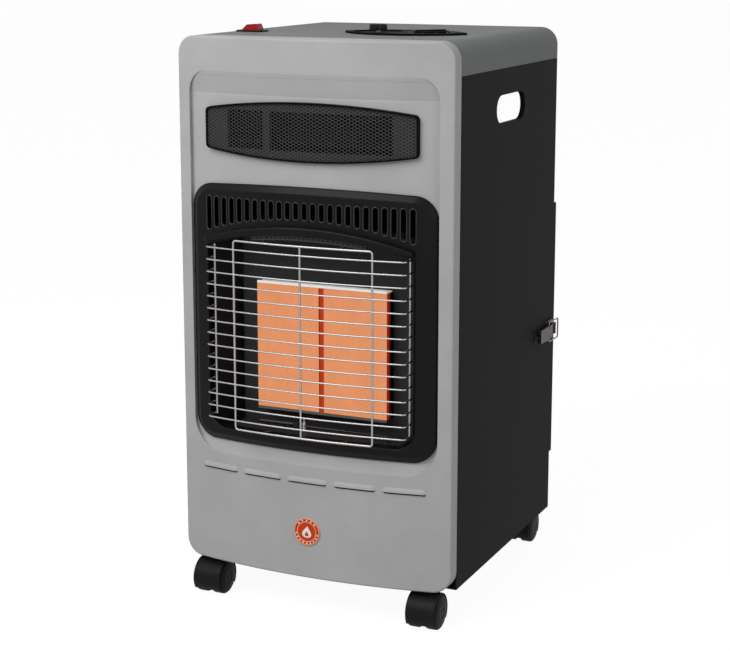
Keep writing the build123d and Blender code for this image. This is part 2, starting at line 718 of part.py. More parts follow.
# ---------------------------------------------------------------- pilot group
pilot_y = EDGE - 12
floor_z = LIFT + OPENING_BOTTOM
with BuildPart() as pilot_burner:
    rod((-89, pilot_y, floor_z + 9.5), (-36, pilot_y, floor_z + 9.5), 2.8)
    with BuildSketch(Plane.XZ.offset(-pilot_y - 1.6)):
        with BuildLine():
            Polyline(
                (-38, floor_z + 7),
                (-29, floor_z + 5.5),
                (-31, floor_z + 9.5),
                (-29, floor_z + 13.5),
                (-38, floor_z + 12),
                close=True,
            )
        make_face()
    extrude(amount=3.2)
    for x in (-84, -46):
        block((x, x + 4), (pilot_y - 2, pilot_y + 2), (floor_z, floor_z + 9))
save(pilot_burner.part, "pilot_burner")

with BuildPart() as thermocouple:
    rod((-19, pilot_y, floor_z + 8.5), (45, pilot_y, floor_z + 8.5), 1.6)
    rod((44, pilot_y, floor_z + 8.5), (110, pilot_y, floor_z + 8.5), 0.9)
    block((30, 34), (pilot_y - 2, pilot_y + 2), (floor_z, floor_z + 8.5))
    block((104, 108), (pilot_y - 2, pilot_y + 2), (floor_z, floor_z + 8.5))
save(thermocouple.part, "thermocouple")

with BuildPart() as ignition_electrode:
    rod((-24, pilot_y + 8, floor_z), (-24, pilot_y + 8, floor_z + 11), 2.2)
    rod((-24, pilot_y + 8, floor_z + 10), (-24, pilot_y + 8, floor_z + 16), 0.8)
save(ignition_electrode.part, "ignition_electrode")

# ---------------------------------------------------------------- gas train
manifold_y = EDGE + 44
with BuildPart() as gas_manifold:
    rod((-95, manifold_y, MIXER_Z), (120, manifold_y, MIXER_Z), 6)
    for x in (-70, 80):
        block((x, x + 12), (manifold_y, EDGE + SHIELD_DEPTH - 0.1), (MIXER_Z - 4, MIXER_Z + 4))
save(gas_manifold.part, "gas_manifold")

with BuildPart() as injectors:
    for x in (-MIXER_X, MIXER_X):
        with BuildSketch(front_plane(manifold_y - 5.9)):
            with Locations((x, MIXER_Z)):
                RegularPolygon(5, 6)
        extrude(amount=3.5)
        rod((x, manifold_y - 9, MIXER_Z), (x, manifold_y - 17, MIXER_Z), 3)
    rod((-95, manifold_y, MIXER_Z), (120, manifold_y, MIXER_Z), 6.02, mode=Mode.SUBTRACT)
save(injectors.part, "injectors")

valve_x = (KNOB_X - 20, KNOB_X + 20)
valve_z = (TOP - 100, TOP - 40)
pipe_z = TOP - 52
boss_top = TOP - 17
with BuildPart() as gas_valve:
    block(valve_x, (CONTROL_Y - 17, CONTROL_Y + 17), valve_z)
    fillet(gas_valve.edges().filter_by(Axis.Z), 4)
    rod((KNOB_X, CONTROL_Y, valve_z[1] - 1), (KNOB_X, CONTROL_Y, boss_top), 8)
    for x in (valve_x[0], valve_x[1] - 4):
        lug_z = (valve_z[1] - 5, TOP - SHEET - 0.1)
        block((x, x + 4), (CONTROL_Y - 9, CONTROL_Y + 9), lug_z)
    shaft_bottom = (KNOB_X, CONTROL_Y, TOP - 64)
    rod(shaft_bottom, (KNOB_X, CONTROL_Y, boss_top + 1), SHAFT_RADIUS + RUNNING, mode=Mode.SUBTRACT)
save(gas_valve.part, "gas_valve")

pipe_x = 172.0
pipe_points = (
    (valve_x[1] + 0.02, CONTROL_Y, pipe_z),
    (pipe_x, CONTROL_Y, pipe_z),
    (pipe_x, manifold_y, pipe_z),
    (pipe_x, manifold_y, MIXER_Z),
    (120.02, manifold_y, MIXER_Z),
)
with BuildLine() as pipe_path:
    FilletPolyline(*pipe_points, radius=14)
save(wire(pipe_path.wire(), 4), "burner_pipe")

nozzle_y = CONTROL_Y + 17.02
nozzle_z = TOP - 90
with BuildPart() as hose_nozzle:
    with BuildSketch(Plane(origin=(KNOB_X, nozzle_y, nozzle_z), z_dir=(0, 1, 0))):
        RegularPolygon(7.5, 6)
    extrude(amount=6)
    rod((KNOB_X, nozzle_y + 6, nozzle_z), (KNOB_X, nozzle_y + 6 + NOZZLE_LENGTH, nozzle_z), NOZZLE_RADIUS)
save(hose_nozzle.part, "hose_nozzle")

# ---------------------------------------------------------------- fan heater
duct_front = EDGE - 22.0
duct_back = EDGE + DUCT_BACK
window = (DUCT_WINDOW_HALF_WIDTH, DUCT_WINDOW_HALF_HEIGHT)
wall = 1.2
with BuildPart() as duct_flange:
    with BuildSketch(front_plane(EDGE)):
        add(grille_outline(GRILLE_RIM + 0.3))
    extrude(amount=FRONT_REACH)
    add(bowed_slab(4.0, 5.2, HALF, GRILLE_Z - 60, GRILLE_Z + 60), mode=Mode.INTERSECT)
with BuildPart() as fan_duct:
    add(duct_flange.part)
    throat = (-window[0] - wall, window[0] + wall)
    throat_z = (GRILLE_Z - window[1] - wall, GRILLE_Z + window[1] + wall)
    block(throat, (bow_y(0, 4.6), duct_front + wall), throat_z)
    add(bowed_slab(-10, 4.0, HALF, GRILLE_Z - 60, GRILLE_Z + 60), mode=Mode.SUBTRACT)
    case_x = (-DUCT_HALF_WIDTH, DUCT_HALF_WIDTH)
    case_z = (GRILLE_Z - DUCT_HALF_HEIGHT, GRILLE_Z + DUCT_HALF_HEIGHT)
    block(case_x, (duct_front, duct_back), case_z)
    space_x = (wall - DUCT_HALF_WIDTH, DUCT_HALF_WIDTH - wall)
    space_z = (case_z[0] + wall, case_z[1] - wall)
    block(space_x, (duct_front + wall, duct_back - wall), space_z, mode=Mode.SUBTRACT)
    window_z = (GRILLE_Z - window[1], GRILLE_Z + window[1])
    for x in ((-window[0], DUCT_BAR[0]), (DUCT_BAR[1], window[0])):
        block(x, (EDGE - 60, duct_front + 5), window_z, mode=Mode.SUBTRACT)
    channel = (DUCT_BAR[0] + wall, DUCT_BAR[1] - wall)
    channel_y = (bow_y(channel[1], 5.2) + 0.4, duct_front + 5)
    block(channel, channel_y, window_z, mode=Mode.SUBTRACT)
    # intake slots in the back wall, and a hole for the fan's shaft
    with BuildSketch(front_plane(duct_back + 1)):
        with Locations((0, GRILLE_Z)):
            with GridLocations(22, 0, 9, 1):
                SlotOverall(60, 8, rotation=90)
    extrude(amount=4, mode=Mode.SUBTRACT)
    fan_y = EDGE + 22.0
    hole_end = (-DUCT_HALF_WIDTH + 3, fan_y, GRILLE_Z)
    rod((-DUCT_HALF_WIDTH - 1, fan_y, GRILLE_Z), hole_end, FAN_SHAFT_RADIUS + RUNNING, mode=Mode.SUBTRACT)
    for x in (-130, 118):
        foot_y = (duct_back - 0.2, EDGE + SHIELD_DEPTH - 0.1)
        block((x, x + 12), foot_y, (case_z[0] + 2, case_z[0] + 14))
save(fan_duct.part, "fan_duct")

element_y = (EDGE - 18, EDGE - 6)
element_z = (GRILLE_Z - 20, GRILLE_Z + 20)
with BuildPart() as heating_element:
    block((space_x[0], space_x[1]), element_y, element_z)
    window_y = (element_y[0] - 1, element_y[1] + 1)
    for x in ((space_x[0] + 4, -63), (-59, 59), (63, space_x[1] - 4)):
        block(x, window_y, (element_z[0] + 4, element_z[1] - 4), mode=Mode.SUBTRACT)
    middle_y = (element_y[0] + element_y[1]) / 2
    for i in range(5):
        z = GRILLE_Z + (i - 2) * 6.0
        rod((space_x[0] + 2, middle_y, z), (space_x[1] - 2, middle_y, z), 1.5)
save(heating_element.part, "heating_element")

with BuildPart() as fan_wheel:
    rod((0.5 - DUCT_HALF_WIDTH, fan_y, GRILLE_Z), (130, fan_y, GRILLE_Z), FAN_SHAFT_RADIUS)
    for x in (-FAN_HALF_LENGTH, -1, FAN_HALF_LENGTH - 2):
        rod((x, fan_y, GRILLE_Z), (x + 2, fan_y, GRILLE_Z), FAN_RADIUS)
    with BuildSketch(Plane(origin=(0, fan_y, GRILLE_Z), x_dir=(0, 1, 0), z_dir=(1, 0, 0))):
        with PolarLocations(FAN_RADIUS - 4, 16):
            Rectangle(6, 1, rotation=35)
    extrude(amount=FAN_HALF_LENGTH - 1, both=True)
save(fan_wheel.part, "fan_wheel")

with BuildPart() as fan_motor:
    rod((112, fan_y, GRILLE_Z), (space_x[1], fan_y, GRILLE_Z), 20)
    fillet(fan_motor.edges().filter_by(GeomType.CIRCLE).group_by(Axis.X)[0], 2)
    rod((111, fan_y, GRILLE_Z), (132, fan_y, GRILLE_Z), FAN_SHAFT_RADIUS + RUNNING, mode=Mode.SUBTRACT)
save(fan_motor.part, "fan_motor")

# ---------------------------------------------------------------- top cover
def cover_block(inset, front, back):
    """The cover's outer form, or its inside at a sheet's thickness."""
    with BuildPart() as form:
        half = HALF - inset
        block((-half, half), (front, back), (SKIRT_BOTTOM - inset, TOP - inset))
        upper = form.edges().filter_by(Axis.Y).group_by(Axis.Z)[-1]
        fillet(upper, CORNER_RADIUS - inset)
    return form.part


with BuildPart() as top_cover:
    add(cover_block(0, EDGE + GAP, BACK))
    add(cover_block(SHEET, EDGE - 5, BACK - SHEET), mode=Mode.SUBTRACT)
    for x in (KNOB_X, DIAL_X):
        rod((x, CONTROL_Y, TOP - 5), (x, CONTROL_Y, TOP + 5), 4, mode=Mode.SUBTRACT)
    rocker_hole_x = (ROCKER_X - 18.6, ROCKER_X + 18.6)
    rocker_hole_y = (ROCKER_Y - 10.1, ROCKER_Y + 10.1)
    block(rocker_hole_x, rocker_hole_y, (TOP - 5, TOP + 5), mode=Mode.SUBTRACT)
save(top_cover.part, "top_cover")

# ---------------------------------------------------------------- controls
lens_radius = (CONTROL_HALF_LENGTH**2 + CONTROL_HALF_WIDTH**2) / (2 * CONTROL_HALF_WIDTH)
lens_shift = lens_radius - CONTROL_HALF_WIDTH
plate_top = TOP + CONTROL_THICKNESS
well_floor = plate_top - WELL_DEPTH
with BuildPart() as control_plate:
    with BuildSketch(Plane.XY.offset(TOP)):
        with Locations((CONTROL_X, CONTROL_Y - lens_shift)):
            Circle(lens_radius)
        with Locations((CONTROL_X, CONTROL_Y + lens_shift)):
            Circle(lens_radius, mode=Mode.INTERSECT)
    extrude(amount=CONTROL_THICKNESS)
    chamfer(control_plate.edges().group_by(Axis.Z)[-1], 0.8)
    for x, radius in ((KNOB_X, KNOB_WELL_RADIUS), (DIAL_X, DIAL_RING)):
        rod((x, CONTROL_Y, well_floor), (x, CONTROL_Y, plate_top + 1), radius, mode=Mode.SUBTRACT)
        rod((x, CONTROL_Y, TOP - 1), (x, CONTROL_Y, plate_top), 4, mode=Mode.SUBTRACT)
save(control_plate.part, "control_plate")

with BuildPart() as valve_shaft:
    rod((KNOB_X, CONTROL_Y, TOP - 62), (KNOB_X, CONTROL_Y, TOP + 8), SHAFT_RADIUS)
save(valve_shaft.part, "valve_shaft")

knob_bottom = well_floor + KNOB_TRAVEL + 0.3
with BuildPart() as gas_knob:
    with BuildSketch(Plane.XY.offset(knob_bottom)):
        with Locations((KNOB_X, CONTROL_Y)):
            Circle(KNOB_RADIUS)
            with PolarLocations(KNOB_RADIUS + 1.6, 12):
                Circle(2.6, mode=Mode.SUBTRACT)
    extrude(amount=KNOB_HEIGHT)
    crown = gas_knob.faces().sort_by(Axis.Z)[-1]
    chamfer(crown.edges(), 0.8)
    knob_bore_end = (KNOB_X, CONTROL_Y, TOP + 11.3)
    rod((KNOB_X, CONTROL_Y, knob_bottom - 1), knob_bore_end, SHAFT_RADIUS + RUNNING, mode=Mode.SUBTRACT)
save(gas_knob.part, "gas_knob")

with BuildPart() as fan_dial:
    rod((DIAL_X, CONTROL_Y, TOP - 28), (DIAL_X, CONTROL_Y, well_floor + 1), SHAFT_RADIUS)
    dial_top = well_floor + 0.3 + DIAL_HEIGHT
    rod((DIAL_X, CONTROL_Y, well_floor + 0.3), (DIAL_X, CONTROL_Y, dial_top), DIAL_RADIUS)
    # two finger pockets beside a grip bar
    with BuildSketch(Plane.XY.offset(well_floor + 1.3)):
        with Locations((DIAL_X, CONTROL_Y)):
            Circle(DIAL_RADIUS - 2.5)
            Rectangle(2 * DIAL_RADIUS, 10, rotation=DIAL_ANGLE, mode=Mode.SUBTRACT)
    extrude(amount=DIAL_HEIGHT, mode=Mode.SUBTRACT)
    with BuildSketch(Plane.XY.offset(dial_top - 1)):
        with Locations((DIAL_X, CONTROL_Y)):
            SlotOverall(2 * DIAL_RADIUS - 2, 8, rotation=DIAL_ANGLE)
    extrude(amount=DIAL_BAR_RISE + 1)
    chamfer(fan_dial.faces().sort_by(Axis.Z)[-1].edges(), 1.2)
save(fan_dial.part, "fan_dial")

with BuildPart() as fan_switch:
    block((DIAL_X - 15, DIAL_X + 15), (CONTROL_Y - 15, CONTROL_Y + 15), (TOP - 37, TOP - 12))
    rod((DIAL_X, CONTROL_Y, TOP - 13), (DIAL_X, CONTROL_Y, TOP - SHEET - 0.1), 7)
    shaft_hole_end = (DIAL_X, CONTROL_Y, TOP)
    rod((DIAL_X, CONTROL_Y, TOP - 30), shaft_hole_end, SHAFT_RADIUS + RUNNING, mode=Mode.SUBTRACT)
save(fan_switch.part, "fan_switch")

rocker_half = ROCKER_SIZE[0] / 2
rocker_side = ROCKER_SIZE[1] / 2
with BuildPart() as rocker_housing:
    with BuildSketch(Plane.XY.offset(TOP)):
        with Locations((ROCKER_X, ROCKER_Y)):
            RectangleRounded(ROCKER_BEZEL[0], ROCKER_BEZEL[1], 3)
    extrude(amount=2.5)
    chamfer(rocker_housing.edges().group_by(Axis.Z)[-1], 0.8)
    body_x = (ROCKER_X - 18.5, ROCKER_X + 18.5)
    block(body_x, (ROCKER_Y - 10, ROCKER_Y + 10), (TOP - 22, TOP + 1))
    pocket_x = (ROCKER_X - rocker_half - 0.6, ROCKER_X + rocker_half + 0.6)
    pocket_y = (ROCKER_Y - rocker_side - 0.4, ROCKER_Y + rocker_side + 0.4)
    block(pocket_x, pocket_y, (TOP - 16, TOP + 5), mode=Mode.SUBTRACT)
    pin_start = (ROCKER_X, ROCKER_Y - 9.6, ROCKER_PIVOT)
    rod(pin_start, (ROCKER_X, ROCKER_Y + 9.6, ROCKER_PIVOT), 1.5 + RUNNING, mode=Mode.SUBTRACT)
save(rocker_housing.part, "rocker_housing")

with BuildPart() as rocker_button:
    with BuildSketch(Plane(origin=(ROCKER_X, ROCKER_Y, TOP), x_dir=(1, 0, 0), z_dir=(0, -1, 0))):
        with BuildLine():
            Polyline(
                (-rocker_half, -4),
                (-rocker_half, 1.2),
                (-rocker_half + 9.7, ROCKER_CROWN - 1.2),
                (rocker_half - 3.5, ROCKER_CROWN),
                (rocker_half, 3.5),
                (rocker_half, -4),
                close=True,
            )
        make_face()
    extrude(amount=rocker_side, both=True)
    fillet(rocker_button.edges().filter_by(Axis.Y).group_by(Axis.Z)[-1], 1.5)
    pin_end = (ROCKER_X, ROCKER_Y + 9.4, ROCKER_PIVOT)
    rod((ROCKER_X, ROCKER_Y - 9.4, ROCKER_PIVOT), pin_end, 1.5)
save(rocker_button.part, "rocker_button")

# ---------------------------------------------------------------- side panels
handle_y = EDGE + HANDLE_DEPTH
handle_z = LIFT + HANDLE_HEIGHT
plate_top_z = SKIRT_BOTTOM - GAP
with BuildPart() as right_side_panel:
    block((INNER, HALF), (EDGE + GAP, BACK), (LIFT, plate_top_z))
    joggle = (INNER - SHEET - GAP, INNER - GAP)
    block((joggle[0], HALF), (EDGE + GAP, BACK - 5), (plate_top_z - SHEET, plate_top_z))
    block(joggle, (EDGE + GAP, BACK - 5), (plate_top_z - SHEET, SKIRT_BOTTOM + 18))
    block((190, HALF), (EDGE + GAP, BACK), (LIFT, LIFT + SHEET))
    block((192, HALF), (BACK - SHEET, BACK), (LIFT, plate_top_z))
    with BuildSketch(side_plane(INNER - HANDLE_COLLAR)):
        with Locations((handle_y, handle_z)):
            SlotOverall(HANDLE_LENGTH + 2 * SHEET, HANDLE_WIDTH + 2 * SHEET)
    extrude(amount=HANDLE_COLLAR + 0.5)
    with BuildSketch(side_plane(INNER - HANDLE_COLLAR - 1)):
        with Locations((handle_y, handle_z)):
            SlotOverall(HANDLE_LENGTH, HANDLE_WIDTH)
    extrude(amount=HANDLE_COLLAR + 5, mode=Mode.SUBTRACT)
save(right_side_panel.part, "right_side_panel")
save(right_side_panel.part.mirror(Plane.YZ), "left_side_panel")

# ---------------------------------------------------------------- base, frame and shield
swivels = []
for swivel_y, trail in ((EDGE + FRONT_SWIVEL_DEPTH, -1), (EDGE + REAR_SWIVEL_DEPTH, 1)):
    for side in (-1, 1):
        swivels.append((side * CASTOR_X, swivel_y, trail))

pan_half = INNER - 0.2
pan_y = (EDGE + GAP, FRAME_FACE - SHEET - 0.1)
with BuildPart() as base_pan:
    block((-pan_half, pan_half), pan_y, (BASE_FLOOR, BASE_TOP))
    for side in (-1, 1):
        wall_x = sorted((side * (pan_half - SHEET), side * pan_half))
        block(wall_x, pan_y, (BASE_FLOOR, BASE_TOP + 20))
    block((-150, 150), (-95, 205), (BASE_TOP - 1, BASE_TOP + BOTTLE_STAND))
    for x, y, trail in swivels:
        rod((x, y, BASE_FLOOR), (x, y, BASE_TOP + 22), 8.5)
        rod((x, y, BASE_FLOOR - 1), (x, y, BASE_TOP + 23), STEM_RADIUS + RUNNING, mode=Mode.SUBTRACT)
save(base_pan.part, "base_pan")

frame_z = (BASE_TOP + 0.1, SKIRT_BOTTOM + 18)
with BuildPart() as rear_frame:
    block((-pan_half, pan_half), (FRAME_FACE - SHEET, FRAME_FACE), frame_z)
    with BuildSketch(front_plane(BACK + 5)):
        with Locations((0, (BAY_BOTTOM + BAY_TOP) / 2)):
            RectangleRounded(2 * BAY_HALF_WIDTH, BAY_TOP - BAY_BOTTOM, 12)
    extrude(amount=10, mode=Mode.SUBTRACT)
    rod((GLAND_X, BACK - 10, GLAND_Z), (GLAND_X, BACK + 5, GLAND_Z), 7, mode=Mode.SUBTRACT)
save(rear_frame.part, "rear_frame")

with BuildPart() as mains_gland:
    rod((GLAND_X, FRAME_FACE + 3, GLAND_Z), (GLAND_X, FRAME_FACE + 0.02, GLAND_Z), 10)
    fillet(mains_gland.edges().group_by(Axis.Y)[-1], 1.5)
    rod((GLAND_X, FRAME_FACE + 1, GLAND_Z), (GLAND_X, FRAME_FACE - 5, GLAND_Z), 6.9)
    rod((GLAND_X, FRAME_FACE + 9, GLAND_Z), (GLAND_X, FRAME_FACE - 9, GLAND_Z), 3.2, mode=Mode.SUBTRACT)
save(mains_gland.part, "mains_gland")

shield_y = EDGE + SHIELD_DEPTH
with BuildPart() as heat_shield:
    block((-pan_half + 2, pan_half - 2), (shield_y, shield_y + wall), (BASE_TOP + 0.1, LIFT + 680))
    for side in (-1, 1):
        fold = sorted((side * (pan_half - 2 - wall), side * (pan_half - 2)))
        block(fold, (shield_y, shield_y + 12), (BASE_TOP + 0.1, LIFT + 680))
save(heat_shield.part, "heat_shield")

with BuildPart() as screws:
    for x in (-199, 199):
        for z in (LIFT + 30, LIFT + 74, LIFT + 530, LIFT + 690):
            rod((x, BACK + 0.02, z), (x, BACK + 2.2, z), 3.8)
    fillet(screws.edges().filter_by(GeomType.CIRCLE).group_by(Axis.Y)[-1], 1.2)
save(screws.part, "screws")

# ---------------------------------------------------------------- rear door and its hinges
door_front = BACK + GAP
door_back = BACK + DOOR_PROUD
door_z = (LIFT + DOOR_BOTTOM, LIFT + DOOR_TOP)
door_left = -HALF + 1.2
hinge_x = -HALF - 4
hinge_y = BACK + 4
with BuildPart() as rear_door:
    block((door_left, HALF), (door_front, door_back), door_z)
    back_face = rear_door.faces().sort_by(Axis.Y)[-1]
    fillet(back_face.edges(), 3)
    inside_x = (door_left + SHEET, HALF - SHEET)
    inside_z = (door_z[0] + SHEET, door_z[1] - SHEET)
    block(inside_x, (door_front - 1, door_back - SHEET), inside_z, mode=Mode.SUBTRACT)
    with BuildSketch(front_plane(door_back + 1)):
        for z in (door_z[0] + 50, door_z[1] - 50):
            with Locations((0, z)):
                with GridLocations(18, 0, 15, 1):
                    SlotOverall(44, 6, rotation=90)
    extrude(amount=4, mode=Mode.SUBTRACT)
    for z in HINGE_HEIGHTS:
        upper = (z + 20.2, z + 40)
        rod((hinge_x, hinge_y, upper[0]), (hinge_x, hinge_y, upper[1]), 4)
        block((hinge_x + 2, door_left + 1), (hinge_y - 2, hinge_y + 2), upper)
        rod((hinge_x, hinge_y, z + 19), (hinge_x, hinge_y, z + 38), 2 + RUNNING, mode=Mode.SUBTRACT)
save(rear_door.part, "rear_door")

with BuildPart() as door_hinges:
    for z in HINGE_HEIGHTS:
        leaf_x = (-HALF - SHEET, -HALF - 0.02)
        block(leaf_x, (BACK - 27, BACK - 2), (z, z + 40))
        block(leaf_x, (BACK - 3, hinge_y), (z, z + 19.8))
        rod((hinge_x, hinge_y, z), (hinge_x, hinge_y, z + 19.8), 4)
        rod((hinge_x, hinge_y, z), (hinge_x, hinge_y, z + 37), 2)
        for screw_z in (z + 8, z + 32):
            rod((-HALF - 1, BACK - 16, screw_z), (-HALF - 3, BACK - 16, screw_z), 3.2)
save(door_hinges.part, "door_hinges")

# ---------------------------------------------------------------- latch
latch_z = LIFT + LATCH_HEIGHT
pivot_x = HALF + 4.7
pivot_y = BACK - LATCH_PIVOT
plate_x = (pivot_x + 1.3, pivot_x + 2.7)
bail_x = HALF + 5.4
bail_y = pivot_y - 14
ear = (LEVER_HALF_HEIGHT + 0.6, LEVER_HALF_HEIGHT + 2.2)
with BuildPart() as latch_base:
    block((HALF + 0.02, HALF + 1.2), (BACK - 34, BACK - 1), (latch_z - 16, latch_z + 16))
    tongue_y = (BACK - LATCH_TONGUE, BACK - 33)
    block((HALF + 0.02, HALF + 1.2), tongue_y, (latch_z - 8.5, latch_z + 8.5))
    fillet(latch_base.edges().filter_by(Axis.X).group_by(Axis.Y)[0], 6)
    for side in (-1, 1):
        ear_z = sorted((latch_z + side * ear[0], latch_z + side * ear[1]))
        block((HALF + 0.6, HALF + 7.6), (pivot_y - 4, pivot_y + 4), ear_z)
    for y in (BACK - LATCH_TONGUE + 6, BACK - 44):
        rod((HALF + 1, y, latch_z), (HALF + 3, y, latch_z), 3.2)
    rod((pivot_x, pivot_y, latch_z - ear[1]), (pivot_x, pivot_y, latch_z + ear[1]), 1.5)
save(latch_base.part, "latch_base")

lever_y = BACK - LEVER_FRONT
with BuildPart() as latch_lever:
    half = LEVER_HALF_HEIGHT
    block(plate_x, (lever_y, pivot_y), (latch_z - half, latch_z + half))
    # front edge folded towards the panel
    block((pivot_x - 2.2, plate_x[1]), (lever_y, lever_y + 1.4), (latch_z - half, latch_z + half))
    rod((pivot_x, pivot_y, latch_z - half), (pivot_x, pivot_y, latch_z + half), 3)
    for side in (-1, 1):
        # folded edges of the lever, and the eyes that hold the bail
        fold_z = sorted((latch_z + side * (half - 1.4), latch_z + side * half))
        block((plate_x[0] - 2.6, plate_x[1]), (lever_y, bail_y), fold_z)
        eye_z = (latch_z + side * 6, latch_z + side * half)
        rod((bail_x, bail_y, eye_z[0]), (bail_x, bail_y, eye_z[1]), 2.4)
        hole_start = (bail_x, bail_y, latch_z + side * 5)
        hole_end = (bail_x, bail_y, latch_z + side * (half + 1))
        rod(hole_start, hole_end, BAIL_RADIUS + RUNNING, mode=Mode.SUBTRACT)
    barrel = ((pivot_x, pivot_y, latch_z - half - 1), (pivot_x, pivot_y, latch_z + half + 1))
    rod(barrel[0], barrel[1], 1.5 + RUNNING, mode=Mode.SUBTRACT)
save(latch_lever.part, "latch_lever")

bail_end = (HALF + SIDE_REACH - BAIL_RADIUS, BACK + 9.2)
arm_z = 15.0
bail_points = (
    (bail_x, bail_y, latch_z + 7),
    (bail_x, bail_y, latch_z + arm_z),
    (bail_end[0], bail_end[1], latch_z + arm_z),
    (bail_end[0], bail_end[1], latch_z),
)
with BuildLine() as bail_path:
    FilletPolyline(*bail_points, radius=2.6)
half_bail = wire(bail_path.wire(), BAIL_RADIUS)
with BuildPart() as latch_bail:
    add(half_bail)
    add(half_bail.mirror(Plane.XY.offset(latch_z)))
save(latch_bail.part, "latch_bail")

with BuildPart() as latch_keeper:
    keeper_y = (door_front + 2, door_front + 7)
    block((HALF + 0.02, HALF + 1.4), keeper_y, (latch_z - 13, latch_z + 13))
    block((HALF + 0.02, HALF + 4.6), (keeper_y[0], keeper_y[0] + 1.4), (latch_z - 9, latch_z + 9))
    block((HALF + 3.2, HALF + 4.6), keeper_y, (latch_z - 9, latch_z + 9))
save(latch_keeper.part, "latch_keeper")

# ---------------------------------------------------------------- castors
wheel_centre = (0, -CASTOR_TRAIL, WHEEL_RADIUS)
with BuildPart() as castor_hood:
    rod((-CASTOR_HOOD_HALF, *wheel_centre[1:]), (CASTOR_HOOD_HALF, *wheel_centre[1:]), CASTOR_HOOD_RADIUS)
    fillet(castor_hood.edges().filter_by(GeomType.CIRCLE), 1.5)
    block((-9, 9), (-CASTOR_TRAIL - 4, 9), (30, LIFT - 1))
    fillet(castor_hood.edges().filter_by(Axis.Z).group_by(Axis.Y)[-1], 6)
    rod((0, 0, LIFT - 4), (0, 0, LIFT + 1.3), 11)
    for side in (-1, 1):
        start = (side * CASTOR_WEB, *wheel_centre[1:])
        hollow = CASTOR_HOOD_RADIUS - CASTOR_HOOD_WALL
        rod(start, (side * 40, *wheel_centre[1:]), hollow, mode=Mode.SUBTRACT)
    rod((-30, *wheel_centre[1:]), (30, *wheel_centre[1:]), AXLE_RADIUS, mode=Mode.SUBTRACT)
    block((-40, 40), (-60, 20), (-10, CASTOR_HOOD_BOTTOM), mode=Mode.SUBTRACT)
    rod((0, 0, LIFT - 6), (0, 0, BASE_TOP + 20), STEM_RADIUS)

with BuildPart() as castor_axle:
    rod((-20.4, *wheel_centre[1:]), (20.4, *wheel_centre[1:]), AXLE_RADIUS)

with BuildPart() as castor_wheel:
    with BuildSketch(Plane(origin=wheel_centre, x_dir=(1, 0, 0), z_dir=(0, -1, 0))):
        with BuildLine():
            tread_out = WHEEL_OUTER - 4
            shoulder = (WHEEL_OUTER, WHEEL_RADIUS - 6)
            Polyline(
                (WHEEL_OUTER + 1.2, 0),
                (WHEEL_INNER, 0),
                (WHEEL_INNER, WHEEL_RADIUS - 1.5),
                (WHEEL_INNER + 1.5, WHEEL_RADIUS),
                (tread_out, WHEEL_RADIUS),
            )
            ThreePointArc((tread_out, WHEEL_RADIUS), (WHEEL_OUTER - 1.2, WHEEL_RADIUS - 2), shoulder)
            Polyline(shoulder, (WHEEL_OUTER + 1.2, 11), (WHEEL_OUTER + 1.2, 0))
        make_face()
    revolve(axis=Axis(wheel_centre, (1, 0, 0)), revolution_arc=360)
    bore_start = (WHEEL_INNER - 1, *wheel_centre[1:])
    rod(bore_start, (20.6, *wheel_centre[1:]), AXLE_RADIUS + RUNNING, mode=Mode.SUBTRACT)

other_wheel = castor_wheel.part.mirror(Plane.YZ)
for x, y, trail in swivels:
    place = "_".join(("front" if trail < 0 else "rear", "left" if x < 0 else "right"))
    spot = Location((x, y, 0), (0, 0, 0 if trail < 0 else 180))
    save(castor_hood.part.moved(spot), f"{place}_castor_hood")
    save(castor_axle.part.moved(spot), f"{place}_castor_axle")
    # the wheel nearer the left side of the heater comes first
    pair = (other_wheel, castor_wheel.part) if trail < 0 else (castor_wheel.part, other_wheel)
    save(pair[0].moved(spot), f"{place}_castor_left_wheel")
    save(pair[1].moved(spot), f"{place}_castor_right_wheel")
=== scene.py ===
"""Portable gas cabinet heater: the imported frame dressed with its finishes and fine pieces.

Metres. +Z is up, the front faces -Y, and +X is to the right as seen from the front.
"""

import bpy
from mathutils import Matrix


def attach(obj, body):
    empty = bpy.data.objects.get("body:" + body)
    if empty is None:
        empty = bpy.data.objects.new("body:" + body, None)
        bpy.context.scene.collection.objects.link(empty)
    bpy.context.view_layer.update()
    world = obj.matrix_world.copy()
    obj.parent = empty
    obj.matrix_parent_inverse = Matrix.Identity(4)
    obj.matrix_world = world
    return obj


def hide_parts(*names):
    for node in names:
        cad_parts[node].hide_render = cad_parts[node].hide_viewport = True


bl_info = {
    "name": "Cabinet heater finishes",
    "version": (1, 0, 0),
    "blender": (4, 5, 0),
    "location": "View3D > Sidebar > Heater",
    "description": "Dresses a gas cabinet heater with its mesh, trims, controls and finishes",
    "category": "Object",
}

import math

import bmesh
import bpy
import numpy as np
from bpy.props import FloatProperty, FloatVectorProperty, IntProperty, PointerProperty
from bpy.types import Operator, Panel, PropertyGroup

